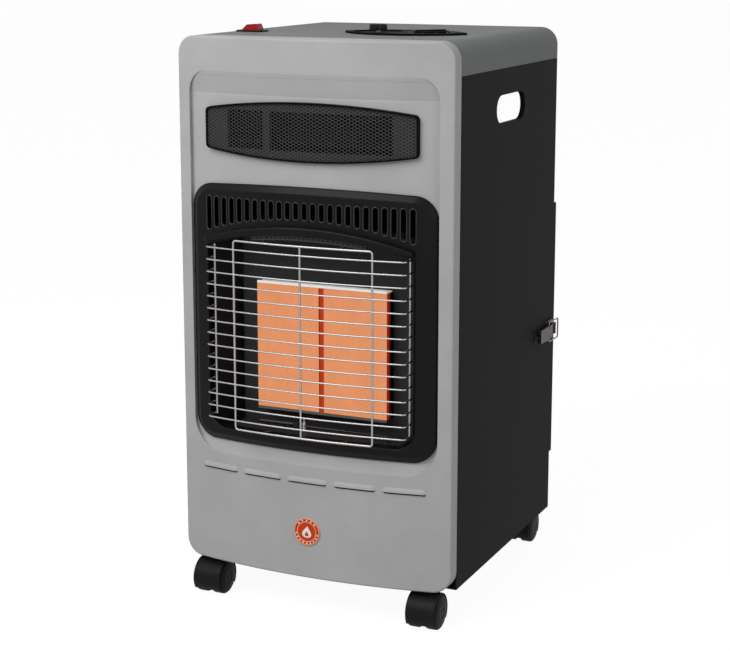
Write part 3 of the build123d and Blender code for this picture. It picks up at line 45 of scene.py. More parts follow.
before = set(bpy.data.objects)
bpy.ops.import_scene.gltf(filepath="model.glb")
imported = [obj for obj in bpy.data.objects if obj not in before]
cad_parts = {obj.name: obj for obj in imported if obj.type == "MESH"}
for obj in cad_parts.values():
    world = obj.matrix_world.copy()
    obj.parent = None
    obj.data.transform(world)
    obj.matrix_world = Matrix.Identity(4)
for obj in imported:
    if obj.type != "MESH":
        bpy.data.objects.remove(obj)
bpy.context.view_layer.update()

EDGE = -0.173  # y of the front panel's back edge
LIFT = 0.056  # underside of the cabinet
TOP = 0.812
HALF_WIDTH = 0.2075
FLANGE = 0.021  # depth of the front panel's flange at its side edges
BOW_RISE = 0.0244
BOW_RADIUS = (HALF_WIDTH**2 + BOW_RISE**2) / (2 * BOW_RISE)
BOW_CENTRE = EDGE - FLANGE - BOW_RISE + BOW_RADIUS
SURROUND_PROUD = 0.0027
GRILLE_Z = LIFT + 0.631
GRILLE_HALF_WIDTH = 0.1593
MESH_HALF_WIDTH = 0.1584  # inside the grille's rim
KNOB = np.array((0.0275, EDGE + 0.137, TOP))
DIAL = np.array((0.108, EDGE + 0.137, TOP))
BADGE = np.array((0.0, EDGE - FLANGE - BOW_RISE, LIFT + 0.070))
BADGE_RADIUS = 0.020
WHEEL_RADIUS = 0.025
CASTORS = {
    "front_left": (-0.168, EDGE - 0.012),
    "front_right": (0.168, EDGE - 0.012),
    "rear_left": (-0.168, EDGE + 0.385),
    "rear_right": (0.168, EDGE + 0.385),
}


# ------------------------------------------------------------------ surfaces
def bow(x, behind=0.0):
    """Depth of the front panel's bow at x: a circle about an upright axis behind the panel."""
    return BOW_CENTRE - np.sqrt((BOW_RADIUS - behind) ** 2 - x**2)


def skin(name, points, around=False, closed=False, inward=False, weld=True):
    """A mesh of quads on a grid of points, shaped (rows, columns, 3) or (copies, rows, columns, 3).
    around joins the last column to the first, closed joins the last row to the first, and weld
    merges the points that meet at a pole."""
    points = np.asarray(points, dtype=float)
    if points.ndim == 3:
        points = points[None]
    copies, rows, columns, _ = points.shape
    row = np.arange(rows if closed else rows - 1)[:, None]
    column = np.arange(columns if around else columns - 1)[None]
    after, beside = (row + 1) % rows, (column + 1) % columns
    corners = (
        row * columns + column,
        row * columns + beside,
        after * columns + beside,
        after * columns + column,
    )
    quads = np.stack(corners, axis=-1).reshape(-1, 4)
    quads = quads[:, ::-1] if inward else quads
    quads = (quads[None] + (np.arange(copies) * rows * columns)[:, None, None]).reshape(-1, 4)
    mesh = bpy.data.meshes.new(name)
    mesh.vertices.add(copies * rows * columns)
    mesh.vertices.foreach_set("co", points.ravel())
    mesh.loops.add(quads.size)
    mesh.loops.foreach_set("vertex_index", quads.ravel())
    mesh.polygons.add(len(quads))
    mesh.polygons.foreach_set("loop_start", np.arange(0, quads.size, 4))
    mesh.polygons.foreach_set("use_smooth", np.ones(len(quads), dtype=bool))
    mesh.update(calc_edges=True)
    mesh.validate()
    if weld:
        shape = bmesh.new()
        shape.from_mesh(mesh)
        bmesh.ops.remove_doubles(shape, verts=shape.verts, dist=1e-6)
        shape.to_mesh(mesh)
        shape.free()
    mesh.set_sharp_from_angle(angle=math.radians(38))
    piece = bpy.data.objects.new(name, mesh)
    bpy.context.scene.collection.objects.link(piece)
    return piece


def turned(profile, steps):
    """Points of a profile of (radius, height) carried round the Z axis, as (rows, steps, 3)."""
    radius, height = np.asarray(profile, dtype=float).T
    angle = np.linspace(0, 2 * np.pi, steps, endpoint=False)
    x = radius[:, None] * np.cos(angle)
    y = radius[:, None] * np.sin(angle)
    return np.stack((x, y, np.broadcast_to(height[:, None], x.shape)), axis=-1)


def pearl(rows, columns, square=1.0):
    """Points of a unit sphere: sines and cosines of its two angles, each raised to a power that
    pushes the sphere out towards a box as it falls below 1."""

    def wave(value):
        return np.sign(value) * np.abs(value) ** square

    tilt = np.linspace(np.pi, 0, rows)[:, None]
    swing = np.linspace(0, 2 * np.pi, columns, endpoint=False)[None]
    wide = wave(np.sin(tilt))
    x, y = wide * wave(np.cos(swing)), wide * wave(np.sin(swing))
    return np.stack((x, y, wave(np.cos(tilt)) + 0 * swing), axis=-1)


def fit(piece, body, slot, finish, *nodes):
    """Gives a new piece its finish and its body, and hides the CAD nodes that it stands for."""
    piece.data.materials.append(finish)
    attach(piece, body)
    if nodes:
        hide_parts(*nodes)
    return piece


# ------------------------------------------------------------------ finishes
def shade(red, green, blue):
    """A screen colour of 0 to 255 as the linear values that shaders take."""
    value = np.array((red, green, blue)) / 255
    linear = np.where(value <= 0.04045, value / 12.92, ((value + 0.055) / 1.055) ** 2.4)
    return tuple(linear)


def scaled(colour, amount):
    """A colour made darker or lighter, kept between 0 and 1."""
    return tuple(min(1.0, max(0.0, part * amount)) for part in colour)


def knot(tree, kind, inputs=None, **settings):
    """A node of a kind, with inputs set to values or joined to the sockets given."""
    node = tree.nodes.new(kind)
    for key, value in settings.items():
        setattr(node, key, value)
    for key, value in (inputs or {}).items():
        if isinstance(value, bpy.types.NodeSocket):
            tree.links.new(value, node.inputs[key])
        else:
            node.inputs[key].default_value = value
    return node


def reckon(tree, operation, first, second=0.0):
    """One operation on two values or sockets, such as ADD or MAXIMUM."""
    return knot(tree, "ShaderNodeMath", {0: first, 1: second}, operation=operation).outputs[0]


def spread(tree, value, low, high, start=0.0, end=1.0):
    """A value whose run from low to high becomes start to end."""
    inputs = {"Value": value, "From Min": low, "From Max": high, "To Min": start, "To Max": end}
    return knot(tree, "ShaderNodeMapRange", inputs).outputs["Result"]


def ramp(tree, value, *stops):
    """A colour ramp of (place, colour) stops over a value."""
    node = knot(tree, "ShaderNodeValToRGB", {"Fac": value})
    while len(node.color_ramp.elements) < len(stops):
        node.color_ramp.elements.new(0.5)
    for element, (place, colour) in zip(node.color_ramp.elements, stops):
        element.position = place
        element.color = (*colour, 1.0)
    return node.outputs["Color"]


def blend(tree, share, first, second):
    """The first colour where the share is 0, and the second where it is 1."""
    node = knot(tree, "ShaderNodeMix", {"Factor": share}, data_type="RGBA")
    for socket, colour in ((node.inputs[6], first), (node.inputs[7], second)):
        if isinstance(colour, bpy.types.NodeSocket):
            tree.links.new(colour, socket)
        else:
            socket.default_value = (*colour, 1.0)
    return node.outputs[2]


def noise(tree, place, scale, detail=3.0, roughness=0.6):
    """Value of a fractal noise at a place."""
    inputs = {"Vector": place, "Scale": scale, "Detail": detail, "Roughness": roughness}
    return knot(tree, "ShaderNodeTexNoise", inputs).outputs["Fac"]


def blank(name):
    """A new material, its tree, its main shader and its object coordinates."""
    finish = bpy.data.materials.new(name)
    finish.use_nodes = True
    tree = finish.node_tree
    return finish, tree, tree.nodes["Principled BSDF"], knot(tree, "ShaderNodeTexCoord").outputs["Object"]


def texture(tree, main, fine, roughness, swing, depth, edge=0.0):
    """An uneven gloss and a small bump, both from one fine noise, over edges rounded by a radius."""
    gloss = spread(tree, fine, 0.0, 1.0, max(0.03, roughness - swing), min(1.0, roughness + swing))
    tree.links.new(gloss, main.inputs["Roughness"])
    bump = knot(tree, "ShaderNodeBump", {"Height": fine, "Distance": depth, "Strength": 0.6})
    tree.links.new(bump.outputs["Normal"], main.inputs["Normal"])
    if edge:
        rounded = knot(tree, "ShaderNodeBevel", {"Radius": edge}, samples=8)
        tree.links.new(rounded.outputs["Normal"], bump.inputs["Normal"])


def parts_of(tree, place):
    """The X, Y and Z of a place."""
    return knot(tree, "ShaderNodeSeparateXYZ", {"Vector": place}).outputs


def within(tree, value, low, high, soft=0.0005):
    """1 where a value lies between two limits, falling to 0 over a soft edge inside them."""
    rise = spread(tree, value, low, low + soft)
    fall = spread(tree, value, high - soft, high, 1.0, 0.0)
    return reckon(tree, "MULTIPLY", rise, fall)


def bow_reach(tree, x, y):
    """Distance of a point from the bow's axis, in plan: the root of the sum of two squares."""
    across = reckon(tree, "POWER", x, 2.0)
    back = reckon(tree, "POWER", reckon(tree, "SUBTRACT", y, BOW_CENTRE), 2.0)
    return reckon(tree, "SQRT", reckon(tree, "ADD", across, back))


def panel_back_painted_shade(tree, place):
    """The low front panel's back face: nearer the bow's axis than its front by about the sheet. It is painted
    near black as painted shade.
    """
    x, y, z = parts_of(tree, place)
    low, high = LIFT + 0.003, LIFT + 0.16
    share = reckon(tree, "MULTIPLY", within(tree, x, -0.2, 0.2), within(tree, z, low, high))
    behind = within(tree, bow_reach(tree, x, y), 0.0, BOW_RADIUS - 0.001)
    return reckon(tree, "MULTIPLY", share, behind)


def duct_inside_painted_shade(tree, place):
    """The fan duct behind its front face: nearer the bow's axis by more than that face's depth. It is painted
    near black as painted shade.
    """
    x, y, _ = parts_of(tree, place)
    return within(tree, bow_reach(tree, x, y), 0.0, BOW_RADIUS - 0.0062, 0.0008)


def reflector_back(tree, place):
    """The reflector's back wall, between its two slanted sides, which are painted darker than it as painted
    shade.
    """
    side = 0.1325
    return within(tree, parts_of(tree, place)["X"], -side, side, 0.002)


def grained(
    name,
    colour,
    roughness,
    grain=1400.0,
    depth=0.00004,
    mottle=0.05,
    drift=12.0,
    edge=0.0,
    patch=None,
    **sockets,
):
    """A coat with a fine grain: a slow drift of its shade, an uneven gloss and a small bump. patch
    holds a function that marks part of the piece, and the colour of that part."""
    finish, tree, main, place = blank(name)
    light, dark = scaled(colour, 1 + mottle), scaled(colour, 1 - mottle)
    tone = ramp(tree, noise(tree, place, drift), (0.3, dark), (0.7, light))
    if patch:
        tone = blend(tree, patch[0](tree, place), tone, patch[1])
    tree.links.new(tone, main.inputs["Base Color"])
    texture(tree, main, noise(tree, place, grain, detail=2.0), roughness, 0.06, depth, edge)
    for key, value in sockets.items():
        main.inputs[key.replace("_", " ")].default_value = value
    return finish


def brushed(name, colour, roughness, along=(1.0, 40.0, 40.0), mottle=0.08, **sockets):
    """Bare metal with fine drawn lines along one direction, from a noise stretched that way."""
    finish, tree, main, place = blank(name)
    lines = knot(tree, "ShaderNodeMapping", {"Vector": place, "Scale": along}).outputs["Vector"]
    streak = noise(tree, lines, 60.0, detail=4.0)
    light, dark = scaled(colour, 1 + mottle), scaled(colour, 1 - mottle)
    tree.links.new(ramp(tree, streak, (0.3, dark), (0.7, light)), main.inputs["Base Color"])
    texture(tree, main, streak, roughness, 0.08, 0.00001)
    main.inputs["Metallic"].default_value = 1.0
    for key, value in sockets.items():
        main.inputs[key.replace("_", " ")].default_value = value
    return finish


def glowing_plaque(settings):
    """Ceramic with staggered rows of burner holes: a square lattice of cells turned by 45 degrees,
    bright between the holes of the front face, and deep red on the sides behind it."""
    finish, tree, main, place = blank("glowing_plaque")
    tilt = {"Vector": place, "Rotation": (0, math.radians(45), 0), "Scale": (1, 0, 1)}
    turn = knot(tree, "ShaderNodeMapping", tilt).outputs["Vector"]
    cells = {"Vector": turn, "Scale": 1 / settings.hole_pitch, "Randomness": 0.0}
    dots = knot(tree, "ShaderNodeTexVoronoi", cells).outputs["Distance"]
    face = ramp(tree, dots, (0.2, tuple(settings.hole_glow)), (0.4, tuple(settings.glow)))
    level = spread(tree, noise(tree, place, 35.0), 0.3, 0.7, 0.9, 1.0)
    face = knot(tree, "ShaderNodeVectorMath", {0: face, "Scale": level}, operation="SCALE").outputs["Vector"]
    side = spread(tree, parts_of(tree, place)["Y"], EDGE + 0.0034, EDGE + 0.0042)
    tree.links.new(blend(tree, side, face, tuple(settings.side_glow)), main.inputs["Emission Color"])
    main.inputs["Emission Strength"].default_value = settings.glow_strength
    main.inputs["Base Color"].default_value = (0.12, 0.05, 0.03, 1.0)
    main.inputs["Specular IOR Level"].default_value = 0.1
    texture(tree, main, dots, 0.9, 0.05, 0.0006)
    return finish


def plaque_trim(settings):
    """The plaques' frame, parted by height: pale fibre on top, which glows with painted light, grey sheet
    below, and a red-hot bar between them."""
    finish, tree, main, place = blank("plaque_trim")
    height = parts_of(tree, place)["Z"]
    fibre = noise(tree, place, 900.0)
    pale = ramp(tree, fibre, (0.3, shade(232, 231, 226)), (0.7, shade(250, 249, 246)))
    grey = ramp(tree, fibre, (0.3, shade(88, 92, 86)), (0.7, shade(112, 114, 108)))
    is_top = spread(tree, height, 0.4656, 0.4659)
    above_lip = spread(tree, height, 0.2864, 0.2869)
    burnt = (0.02, 0.008, 0.004)
    low = blend(tree, above_lip, grey, burnt)
    tree.links.new(blend(tree, is_top, low, pale), main.inputs["Base Color"])
    warm = blend(tree, above_lip, (0.0, 0.0, 0.0), tuple(settings.bar_glow))
    # the pale top's glow is painted light
    tree.links.new(blend(tree, is_top, warm, tuple(settings.lip_painted_light)), main.inputs["Emission Color"])
    main.inputs["Emission Strength"].default_value = settings.glow_strength
    main.inputs["Specular IOR Level"].default_value = 0.2
    texture(tree, main, fibre, 0.7, 0.05, 0.0001)
    return finish


def badge_print(settings):
    """Enamel in rings by the distance from the badge's middle: a pale rim, a dark red band, a pale
    ring and an orange-red field."""
    finish, tree, main, place = blank("badge_print")
    shift = {"Vector": place, "Location": tuple(-BADGE * np.array((1, 0, 1))), "Scale": (1, 0, 1)}
    flat = knot(tree, "ShaderNodeMapping", shift).outputs["Vector"]
    reach = knot(tree, "ShaderNodeVectorMath", {0: flat}, operation="LENGTH").outputs["Value"]
    share = reckon(tree, "DIVIDE", reach, BADGE_RADIUS)
    field, band, pale = tuple(settings.field), tuple(settings.band), tuple(settings.pale)
    inner = ((0.0, field), (0.675, field), (0.69, pale), (0.76, pale))
    outer = ((0.775, band), (0.9, band), (0.915, pale))
    rings = ramp(tree, share, *inner, *outer)
    worn = spread(tree, noise(tree, place, 260.0), 0.3, 0.7, 0.9, 1.05)
    node = knot(tree, "ShaderNodeVectorMath", {0: rings, "Scale": worn}, operation="SCALE")
    tree.links.new(node.outputs["Vector"], main.inputs["Base Color"])
    main.inputs["Specular IOR Level"].default_value = 0.08
    main.inputs["Coat Weight"].default_value = 0.05
    texture(tree, main, noise(tree, place, 900.0), 0.35, 0.06, 0.00002)
    return finish


# ------------------------------------------------------------------ settings
def metres(name, description, default):
    """A length that a user may change."""
    return FloatProperty(name=name, description=description, default=default, unit="LENGTH", precision=5)


def tint(name, description, default):
    """A colour that a user may change."""
    return FloatVectorProperty(
        name=name, description=description, default=default, subtype="COLOR", min=0, max=1
    )


class CabinetFinishes(PropertyGroup):
    front_paint: tint("Front paint", "Powder coat of the front panel", shade(176, 177, 176))
    cover_paint: tint("Cover paint", "Powder coat of the top cover", shade(124, 128, 126))
    body_paint: tint("Body paint", "Satin coat of the sides, base and back", shade(34, 34, 35))
    enamel: tint("Enamel", "Coat of the surround and hood", shade(17, 17, 18))
    plastic: tint("Plastic", "Moulded knobs, castors and switch", shade(24, 24, 25))
    wire: tint("Guard wire", "Plated wire of the guard", shade(160, 161, 162))
    switch_red: tint("Switch", "Red rocker", shade(150, 26, 16))


class GrilleSizes(PropertyGroup):
    pitch: metres("Column pitch", "Distance between columns of holes that line up", 0.0090)
    row: metres("Row pitch", "Distance between holes in a column", 0.0046)
    strand: metres("Strand", "Width of metal between two holes", 0.0009)


class BurnerGlow(PropertyGroup):
    glow: tint("Glow", "Colour of the hot plaque face", shade(250, 172, 120))
    hole_glow: tint("Hole glow", "Colour inside the burner holes", shade(208, 98, 48))
    side_glow: tint("Side glow", "Colour of the plaques' side faces", shade(150, 20, 5))
    bar_glow: tint("Bar glow", "Colour of the bar between the plaques", shade(186, 54, 22))
    # the pale lip's glow is painted light, not a glow of its own
    lip_painted_light: tint("Lip glow", "Glow of the pale lip over the plaques", shade(150, 148, 142))
    glow_strength: FloatProperty(name="Strength", description="Strength of the glow", default=0.82, min=0)
    hole_pitch: metres("Hole pitch", "Distance between burner holes", 0.0026)


class BadgeColours(PropertyGroup):
    field: tint("Field", "Middle of the badge", shade(204, 66, 20))
    band: tint("Band", "Band under the studs", shade(192, 42, 20))
    pale: tint("Pale ring", "Rim and inner ring", shade(236, 160, 126))


class ControlSizes(PropertyGroup):
    flutes: IntProperty(name="Flutes", description="Grip flutes round the gas knob", default=12, min=3)
    flute_depth: metres("Flute depth", "Depth of each grip flute", 0.0010)
    marks: IntProperty(name="Marks", description="Raised marks round the fan dial", default=9, min=2)


class StudioSettings(PropertyGroup):
    camera: FloatVectorProperty(
        name="Camera", description="Place of the camera", default=(1.0353, -2.3127, 0.9447), unit="LENGTH"
    )
    turn: FloatProperty(name="Turn", description="Camera's turn about Z", default=0.4243, unit="ROTATION")
    dip: FloatProperty(name="Dip", description="Camera's tilt below level", default=0.1949, unit="ROTATION")
    lens: FloatProperty(name="Lens", description="Focal length in millimetres", default=85.99)
    rise: FloatProperty(name="Rise", description="Vertical lens shift", default=-0.06)
    key: FloatProperty(name="Key light", description="Power of the front light in watts", default=34.0)
    fill: FloatProperty(name="Fill light", description="Power of the side light in watts", default=16.0)
    band: FloatProperty(name="Band light", description="Power of the long low light in watts", default=7.0)
    sky: FloatProperty(name="Sky", description="Strength of the even light", default=0.3)


# ------------------------------------------------------------------ pieces
class HEATER_OT_paint_cabinet(Operator):
    """Coats the sheet metal, wires, plastics and fittings that keep their CAD shape"""

    bl_idname = "heater.paint_cabinet"
    bl_label = "Paint cabinet"

    def execute(self, context):
        tones = context.scene.heater_finishes
        plastic = tuple(tones.plastic)
        coats = {
            grained(
                "front_powder",
                tones.front_paint,
                0.50,
                edge=0.0012,
                # the low panel's back face is painted near black: painted shade
                patch=(panel_back_painted_shade, shade(22, 22, 22)),
                Specular_IOR_Level=0.05,
            ): ("front_panel",),
            grained("cover_powder", tones.cover_paint, 0.55, edge=0.0012, Specular_IOR_Level=0.02): (
                "top_cover",
            ),
            grained("body_satin", tones.body_paint, 0.5, depth=0.00006, Specular_IOR_Level=0.012): (
                "left_side_panel",
                "right_side_panel",
                "base_pan",
                "rear_frame",
                "rear_door",
                "door_hinges",
            ),
            grained("black_enamel", tones.enamel, 0.3, depth=0.00002, edge=0.004, Specular_IOR_Level=0.1): (
                "surround",
                "hood",
            ),
            grained("frame_enamel", shade(10, 10, 10), 0.4, depth=0.00002, Specular_IOR_Level=0.03): (
                "grille_frame",
            ),
            # the reflector's slanted sides are painted darker than its back wall: painted shade
            grained(
                "reflector_with_painted_shade",
                shade(12, 12, 12),
                0.4,
                drift=9.0,
                mottle=0.3,
                patch=(reflector_back, shade(50, 50, 51)),
                Specular_IOR_Level=0.1,
            ): ("reflector",),
            # the heat shield is painted near black as painted shade inside the cabinet
            grained("inner_sheet_painted_shade", shade(16, 16, 16), 0.6, mottle=0.2, Specular_IOR_Level=0.03): (
                "heat_shield",
            ),
            brushed("burner_steel", shade(60, 62, 61), 0.45, mottle=0.2): ("burner_housing",),
            grained(
                "duct_grey",
                shade(68, 69, 70),
                0.6,
                # the duct behind its front face is painted near black: painted shade
                patch=(duct_inside_painted_shade, shade(9, 9, 9)),
                Specular_IOR_Level=0.03,
            ): ("fan_duct",),
            brushed("element_fins", shade(24, 24, 25), 0.5): ("heating_element",),
            brushed("guard_plating", tones.wire, 0.28, along=(8.0, 8.0, 8.0)): ("wire_guard",),
            brushed("drawn_steel", shade(150, 149, 146), 0.36): (
                "gas_manifold",
                "burner_pipe",
                "valve_shaft",
            ),
            brushed("heat_tinted_steel", shade(58, 58, 58), 0.45, mottle=0.2): (
                "pilot_burner",
                "thermocouple",
            ),
            brushed("turned_brass", shade(186, 150, 84), 0.3): ("injectors", "hose_nozzle"),
            grained("die_cast_alloy", shade(158, 158, 157), 0.45, Metallic=0.9): ("gas_valve",),
            grained("insulator_glaze", shade(222, 219, 210), 0.2, Coat_Weight=0.5): ("ignition_electrode",),
            grained("moulded_black", plastic, 0.4, grain=2200.0, Specular_IOR_Level=0.06): (
                "fan_motor",
                "fan_switch",
                "fan_wheel",
                "rocker_housing",
            ),
            grained(
                "plate_black",
                scaled(plastic, 0.7),
                0.5,
                grain=2200.0,
                edge=0.0006,
                Specular_IOR_Level=0.004,
            ): ("control_plate",),
            grained(
                "dial_plastic",
                scaled(plastic, 0.7),
                0.4,
                grain=1800.0,
                edge=0.0006,
                Specular_IOR_Level=0.008,
            ): ("fan_dial",),
            grained("castor_nylon", plastic, 0.42, grain=1600.0, Specular_IOR_Level=0.08): tuple(
                f"{place}_castor_hood" for place in CASTORS
            ),
            brushed("zinc_plate", shade(160, 160, 158), 0.35): tuple(
                f"{place}_castor_axle" for place in CASTORS
            ),
            grained("gland_rubber", shade(26, 26, 26), 0.8, grain=700.0, Specular_IOR_Level=0.05): (
                "mains_gland",
            ),
            grained("rocker_red", tones.switch_red, 0.25, mottle=0.03, Specular_IOR_Level=0.15): (
                "rocker_button",
            ),
            brushed("latch_plate", shade(64, 56, 54), 0.4, along=(20.0, 20.0, 1.0), mottle=0.15): (
                "latch_base",
                "latch_lever",
            ),
            brushed("latch_wire", shade(118, 114, 112), 0.3, along=(20.0, 20.0, 1.0), mottle=0.15): (
                "latch_bail",
                "latch_keeper",
            ),
        }
        for finish, names in coats.items():
            for name in names:
                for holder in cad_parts[name].material_slots:
                    holder.material = finish
        return {"FINISHED"}


class HEATER_OT_weave_grille(Operator):
    """Expanded metal of the warm-air grille: hexagonal cells in staggered columns on the panel's bow"""

    bl_idname = "heater.weave_grille"
    bl_label = "Weave grille"

    @staticmethod
    def arch(x):
        """Half height of the mesh at x: a shallow parabola that ends in rounded corners."""
        corner, middle, drop = 0.0055, 0.0393, 0.0124
        into = np.clip(np.abs(x) - (MESH_HALF_WIDTH - corner), 0, corner)
        return middle - drop * (x / GRILLE_HALF_WIDTH) ** 2 - corner + np.sqrt(corner**2 - into**2)

    def execute(self, context):
        sizes = context.scene.heater_grille
        pitch, row, strand = sizes.pitch, sizes.row, sizes.strand
        # centres of the holes: each second column stands half a row higher
        column, level = np.meshgrid(np.arange(-36, 37), np.arange(-10, 11), indexing="ij")
        x = column.ravel() * pitch / 2
        z = (level.ravel() + (column.ravel() % 2) / 2) * row
        height = self.arch(np.clip(x, -MESH_HALF_WIDTH, MESH_HALF_WIDTH)) - 0.0008
        kept = (np.abs(x) < MESH_HALF_WIDTH - 0.0006) & (np.abs(z) < height)
        x, z = x[kept], z[kept]
        # six corners of a cell, which meet the next cells, and the same corners round the hole
        narrow, wide = pitch * 0.14, pitch * 0.36
        across = np.array((wide, narrow, -narrow, -wide, -narrow, narrow))
        upward = np.array((0, 0.5, 0.5, 0, -0.5, -0.5)) * row
        cell, hole = (1.0, 1.0), (1 - strand / (2 * wide), 1 - strand / row)
        rings = []
        # front of the strand, edge of the hole, back edge of the hole, back of the strand
        for (size_x, size_z), depth in ((cell, 0.0012), (hole, 0.0014), (hole, 0.0018), (cell, 0.0020)):
            px = np.clip(x[:, None] + across * size_x, -MESH_HALF_WIDTH, MESH_HALF_WIDTH)
            limit = self.arch(px)
            pz = np.clip(z[:, None] + upward * size_z, -limit, limit)
            # strands lean: the upper edge of each hole stands forward of the lower one
            rings.append(np.stack((px, bow(px, depth) - 0.0004 * np.sign(upward), GRILLE_Z + pz), axis=-1))
        grille = skin("expanded_grille", np.stack(rings, axis=1), around=True, closed=True, weld=False)
        coat = grained("grille_coat", shade(84, 85, 86), 0.45, grain=2400.0, Specular_IOR_Level=0.05)
        fit(grille, "cabinet", "black_mesh", coat, "grille_mesh")
        return {"FINISHED"}


class HEATER_OT_rim_slots(Operator):
    """Raised rims round the surround's vent slots, whose lower ends lie on a parabola, and its hood's lip,
    both in a lighter enamel as painted highlight
    """

    bl_idname = "heater.rim_slots"
    bl_label = "Rim vent slots"

    @staticmethod
    def hood_comb():
        """Lip under the hood: the cells of a strip on a parabola, each a frame round one slot."""
        pitch, front, back = 0.0072, 0.0095, 0.0085
        cell, slot = (pitch / 2, 0.0034), (0.0022, 0.0011)  # half width and half height
        middle, drop, hood_half_width = LIFT + 0.4885, 0.0195, 0.1575
        x = 0.006 + (np.arange(24) - 11.5) * pitch
        corner = np.array((1.0, 1.0, -1.0, -1.0)), np.array((1.0, -1.0, -1.0, 1.0))
        rings = []
        for (half_x, half_z), proud in ((cell, front), (slot, front), (slot, back), (cell, back)):
            px = x[:, None] + half_x * corner[0]
            pz = middle - drop * (px / hood_half_width) ** 2 + half_z * corner[1]
            rings.append(np.stack((px, bow(px, -proud), pz), axis=-1))
        return skin("hood_comb", np.stack(rings, axis=1), around=True, closed=True, weld=False)

    def execute(self, context):
        count, pitch, half = 25, 0.01285, 0.0039
        x = (np.arange(count) - count // 2) * pitch
        # centres of the arcs at both ends of a slot: the upper ones are level
        low = LIFT + 0.5126 - 0.0241 * (x / (count // 2 * pitch)) ** 2 + half
        high = LIFT + 0.536 - half
        angle = np.linspace(0, 2 * np.pi, 32, endpoint=False) + np.pi / 32
        middle = np.where(np.sin(angle) > 0, high, low[:, None])
        rings = []
        # distance out from the slot's wall, and height over the surround's face, in millimetres
        rim = ((1.1, -0.3), (0.9, 0.3), (0.4, 0.5), (-0.1, 0.2), (-0.2, -1.2))
        for out, height in np.array(rim) / 1000:
            px = x[:, None] + (half + out) * np.cos(angle)
            pz = middle + (half + out) * np.sin(angle)
            rings.append(np.stack((px, bow(px, -SURROUND_PROUD) - height, pz), axis=-1))
        rims = skin("slot_rims", np.stack(rings, axis=1), around=True, closed=True)
        # the rims and the hood's lip are a lighter grey than the black enamel: painted highlight
        coat = grained("rim_enamel_painted_highlight", shade(54, 54, 55), 0.3, depth=0.00002, Specular_IOR_Level=0.2)
        fit(rims, "cabinet", "black_enamel", coat)
        fit(self.hood_comb(), "cabinet", "black_enamel", coat)
        return {"FINISHED"}


class HEATER_OT_light_burner(Operator):
    """Glowing finish of the ceramic plaques and of the frame that holds them"""

    bl_idname = "heater.light_burner"
    bl_label = "Light burner"

    def execute(self, context):
        settings = context.scene.heater_glow
        for name, finish in (
            ("ceramic_plaques", glowing_plaque(settings)),
            ("plaque_frame", plaque_trim(settings)),
        ):
            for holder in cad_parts[name].material_slots:
                holder.material = finish
        return {"FINISHED"}


class HEATER_OT_weld_guard(Operator):
    """Weld beads where the guard's wires cross: spheres pressed flat along the depth"""

    bl_idname = "heater.weld_guard"
    bl_label = "Weld guard"

    def execute(self, context):
        lowest, wires, pitch, upright = LIFT + 0.2232, 15, 0.0174, 0.105
        levels = lowest + np.arange(wires) * pitch
        x, z = (part.ravel() for part in np.meshgrid((-upright, 0.0, upright), levels, indexing="ij"))
        # between the wires and the uprights that they are welded to
        centre = np.stack((x, bow(x, -0.0187), z), axis=-1)
        bead = pearl(6, 10) * (0.0021, 0.0012, 0.0016)
        beads = skin("weld_beads", centre[:, None, None] + bead, around=True)
        finish = brushed("weld_steel", shade(176, 176, 175), 0.35, along=(20.0, 20.0, 20.0))
        fit(beads, "cabinet", "guard_chrome", finish)
        return {"FINISHED"}


class HEATER_OT_turn_controls(Operator):
    """Fluted gas knob with its pointer, and the marks round the fan dial"""

    bl_idname = "heater.turn_controls"
    bl_label = "Turn controls"

    def execute(self, context):
        sizes = context.scene.heater_controls
        plastic = tuple(context.scene.heater_finishes.plastic)
        # radius and height in millimetres, and how deep the flutes are cut there
        profile = np.array(
            (
                (0.0, 11.3, 0), (3.1, 11.3, 0), (3.1, 4.5, 0), (12.1, 4.5, 0), (12.6, 4.7, 0.4),
                (12.7, 5.2, 1), (12.6, 11.5, 1), (12.3, 12.4, 1), (11.7, 13.0, 0.6), (10.8, 13.2, 0.2),
                (10.0, 13.2, 0), (9.4, 12.8, 0), (0.0, 12.6, 0),
            )
        )
        steps = 144
        rings = turned(profile[:, :2] / 1000, steps)
        # flutes: the radius shrinks where a cosine wave is above zero
        angle = np.linspace(0, 2 * np.pi, steps, endpoint=False)
        wave = np.clip(np.cos(sizes.flutes * angle), 0, 1) ** 0.7
        cut = 1 - wave * profile[:, 2:] * sizes.flute_depth * 1000 / np.maximum(profile[:, :1], 1)
        rings[..., :2] *= cut[..., None]
        knob = skin("fluted_gas_knob", rings + KNOB, around=True)
        black = grained("knob_gloss", scaled(plastic, 0.9), 0.3, grain=1800.0, Specular_IOR_Level=0.1)
        fit(knob, "gas_knob", "black_plastic", black, "gas_knob")
        # pointer: a low rounded bar across the knob's top
        white = grained("pointer_paint", shade(150, 150, 148), 0.45)
        pointer = pearl(7, 16, 0.6) * (0.0008, 0.0036, 0.0005) + KNOB + (0, 0.0048, 0.0127)
        fit(skin("knob_pointer", pointer, around=True), "gas_knob", "black_plastic", white)
        # marks: short bars that point at the middle of the dial, over 280 degrees
        angle = np.radians(np.linspace(90 - 140, 90 + 140, sizes.marks))[:, None, None] + np.pi
        bar = pearl(5, 12, 0.6) * (0.0017, 0.0005, 0.00025)
        reach = 0.0305 + bar[..., 0]
        x = DIAL[0] + reach * np.cos(angle) - bar[..., 1] * np.sin(angle)
        y = DIAL[1] + reach * np.sin(angle) + bar[..., 1] * np.cos(angle)
        marks = np.stack((x, y, TOP + 0.003 + bar[..., 2] + 0 * x), axis=-1)
        fit(skin("dial_marks", marks, around=True), "cabinet", "black_plastic", white)
        return {"FINISHED"}


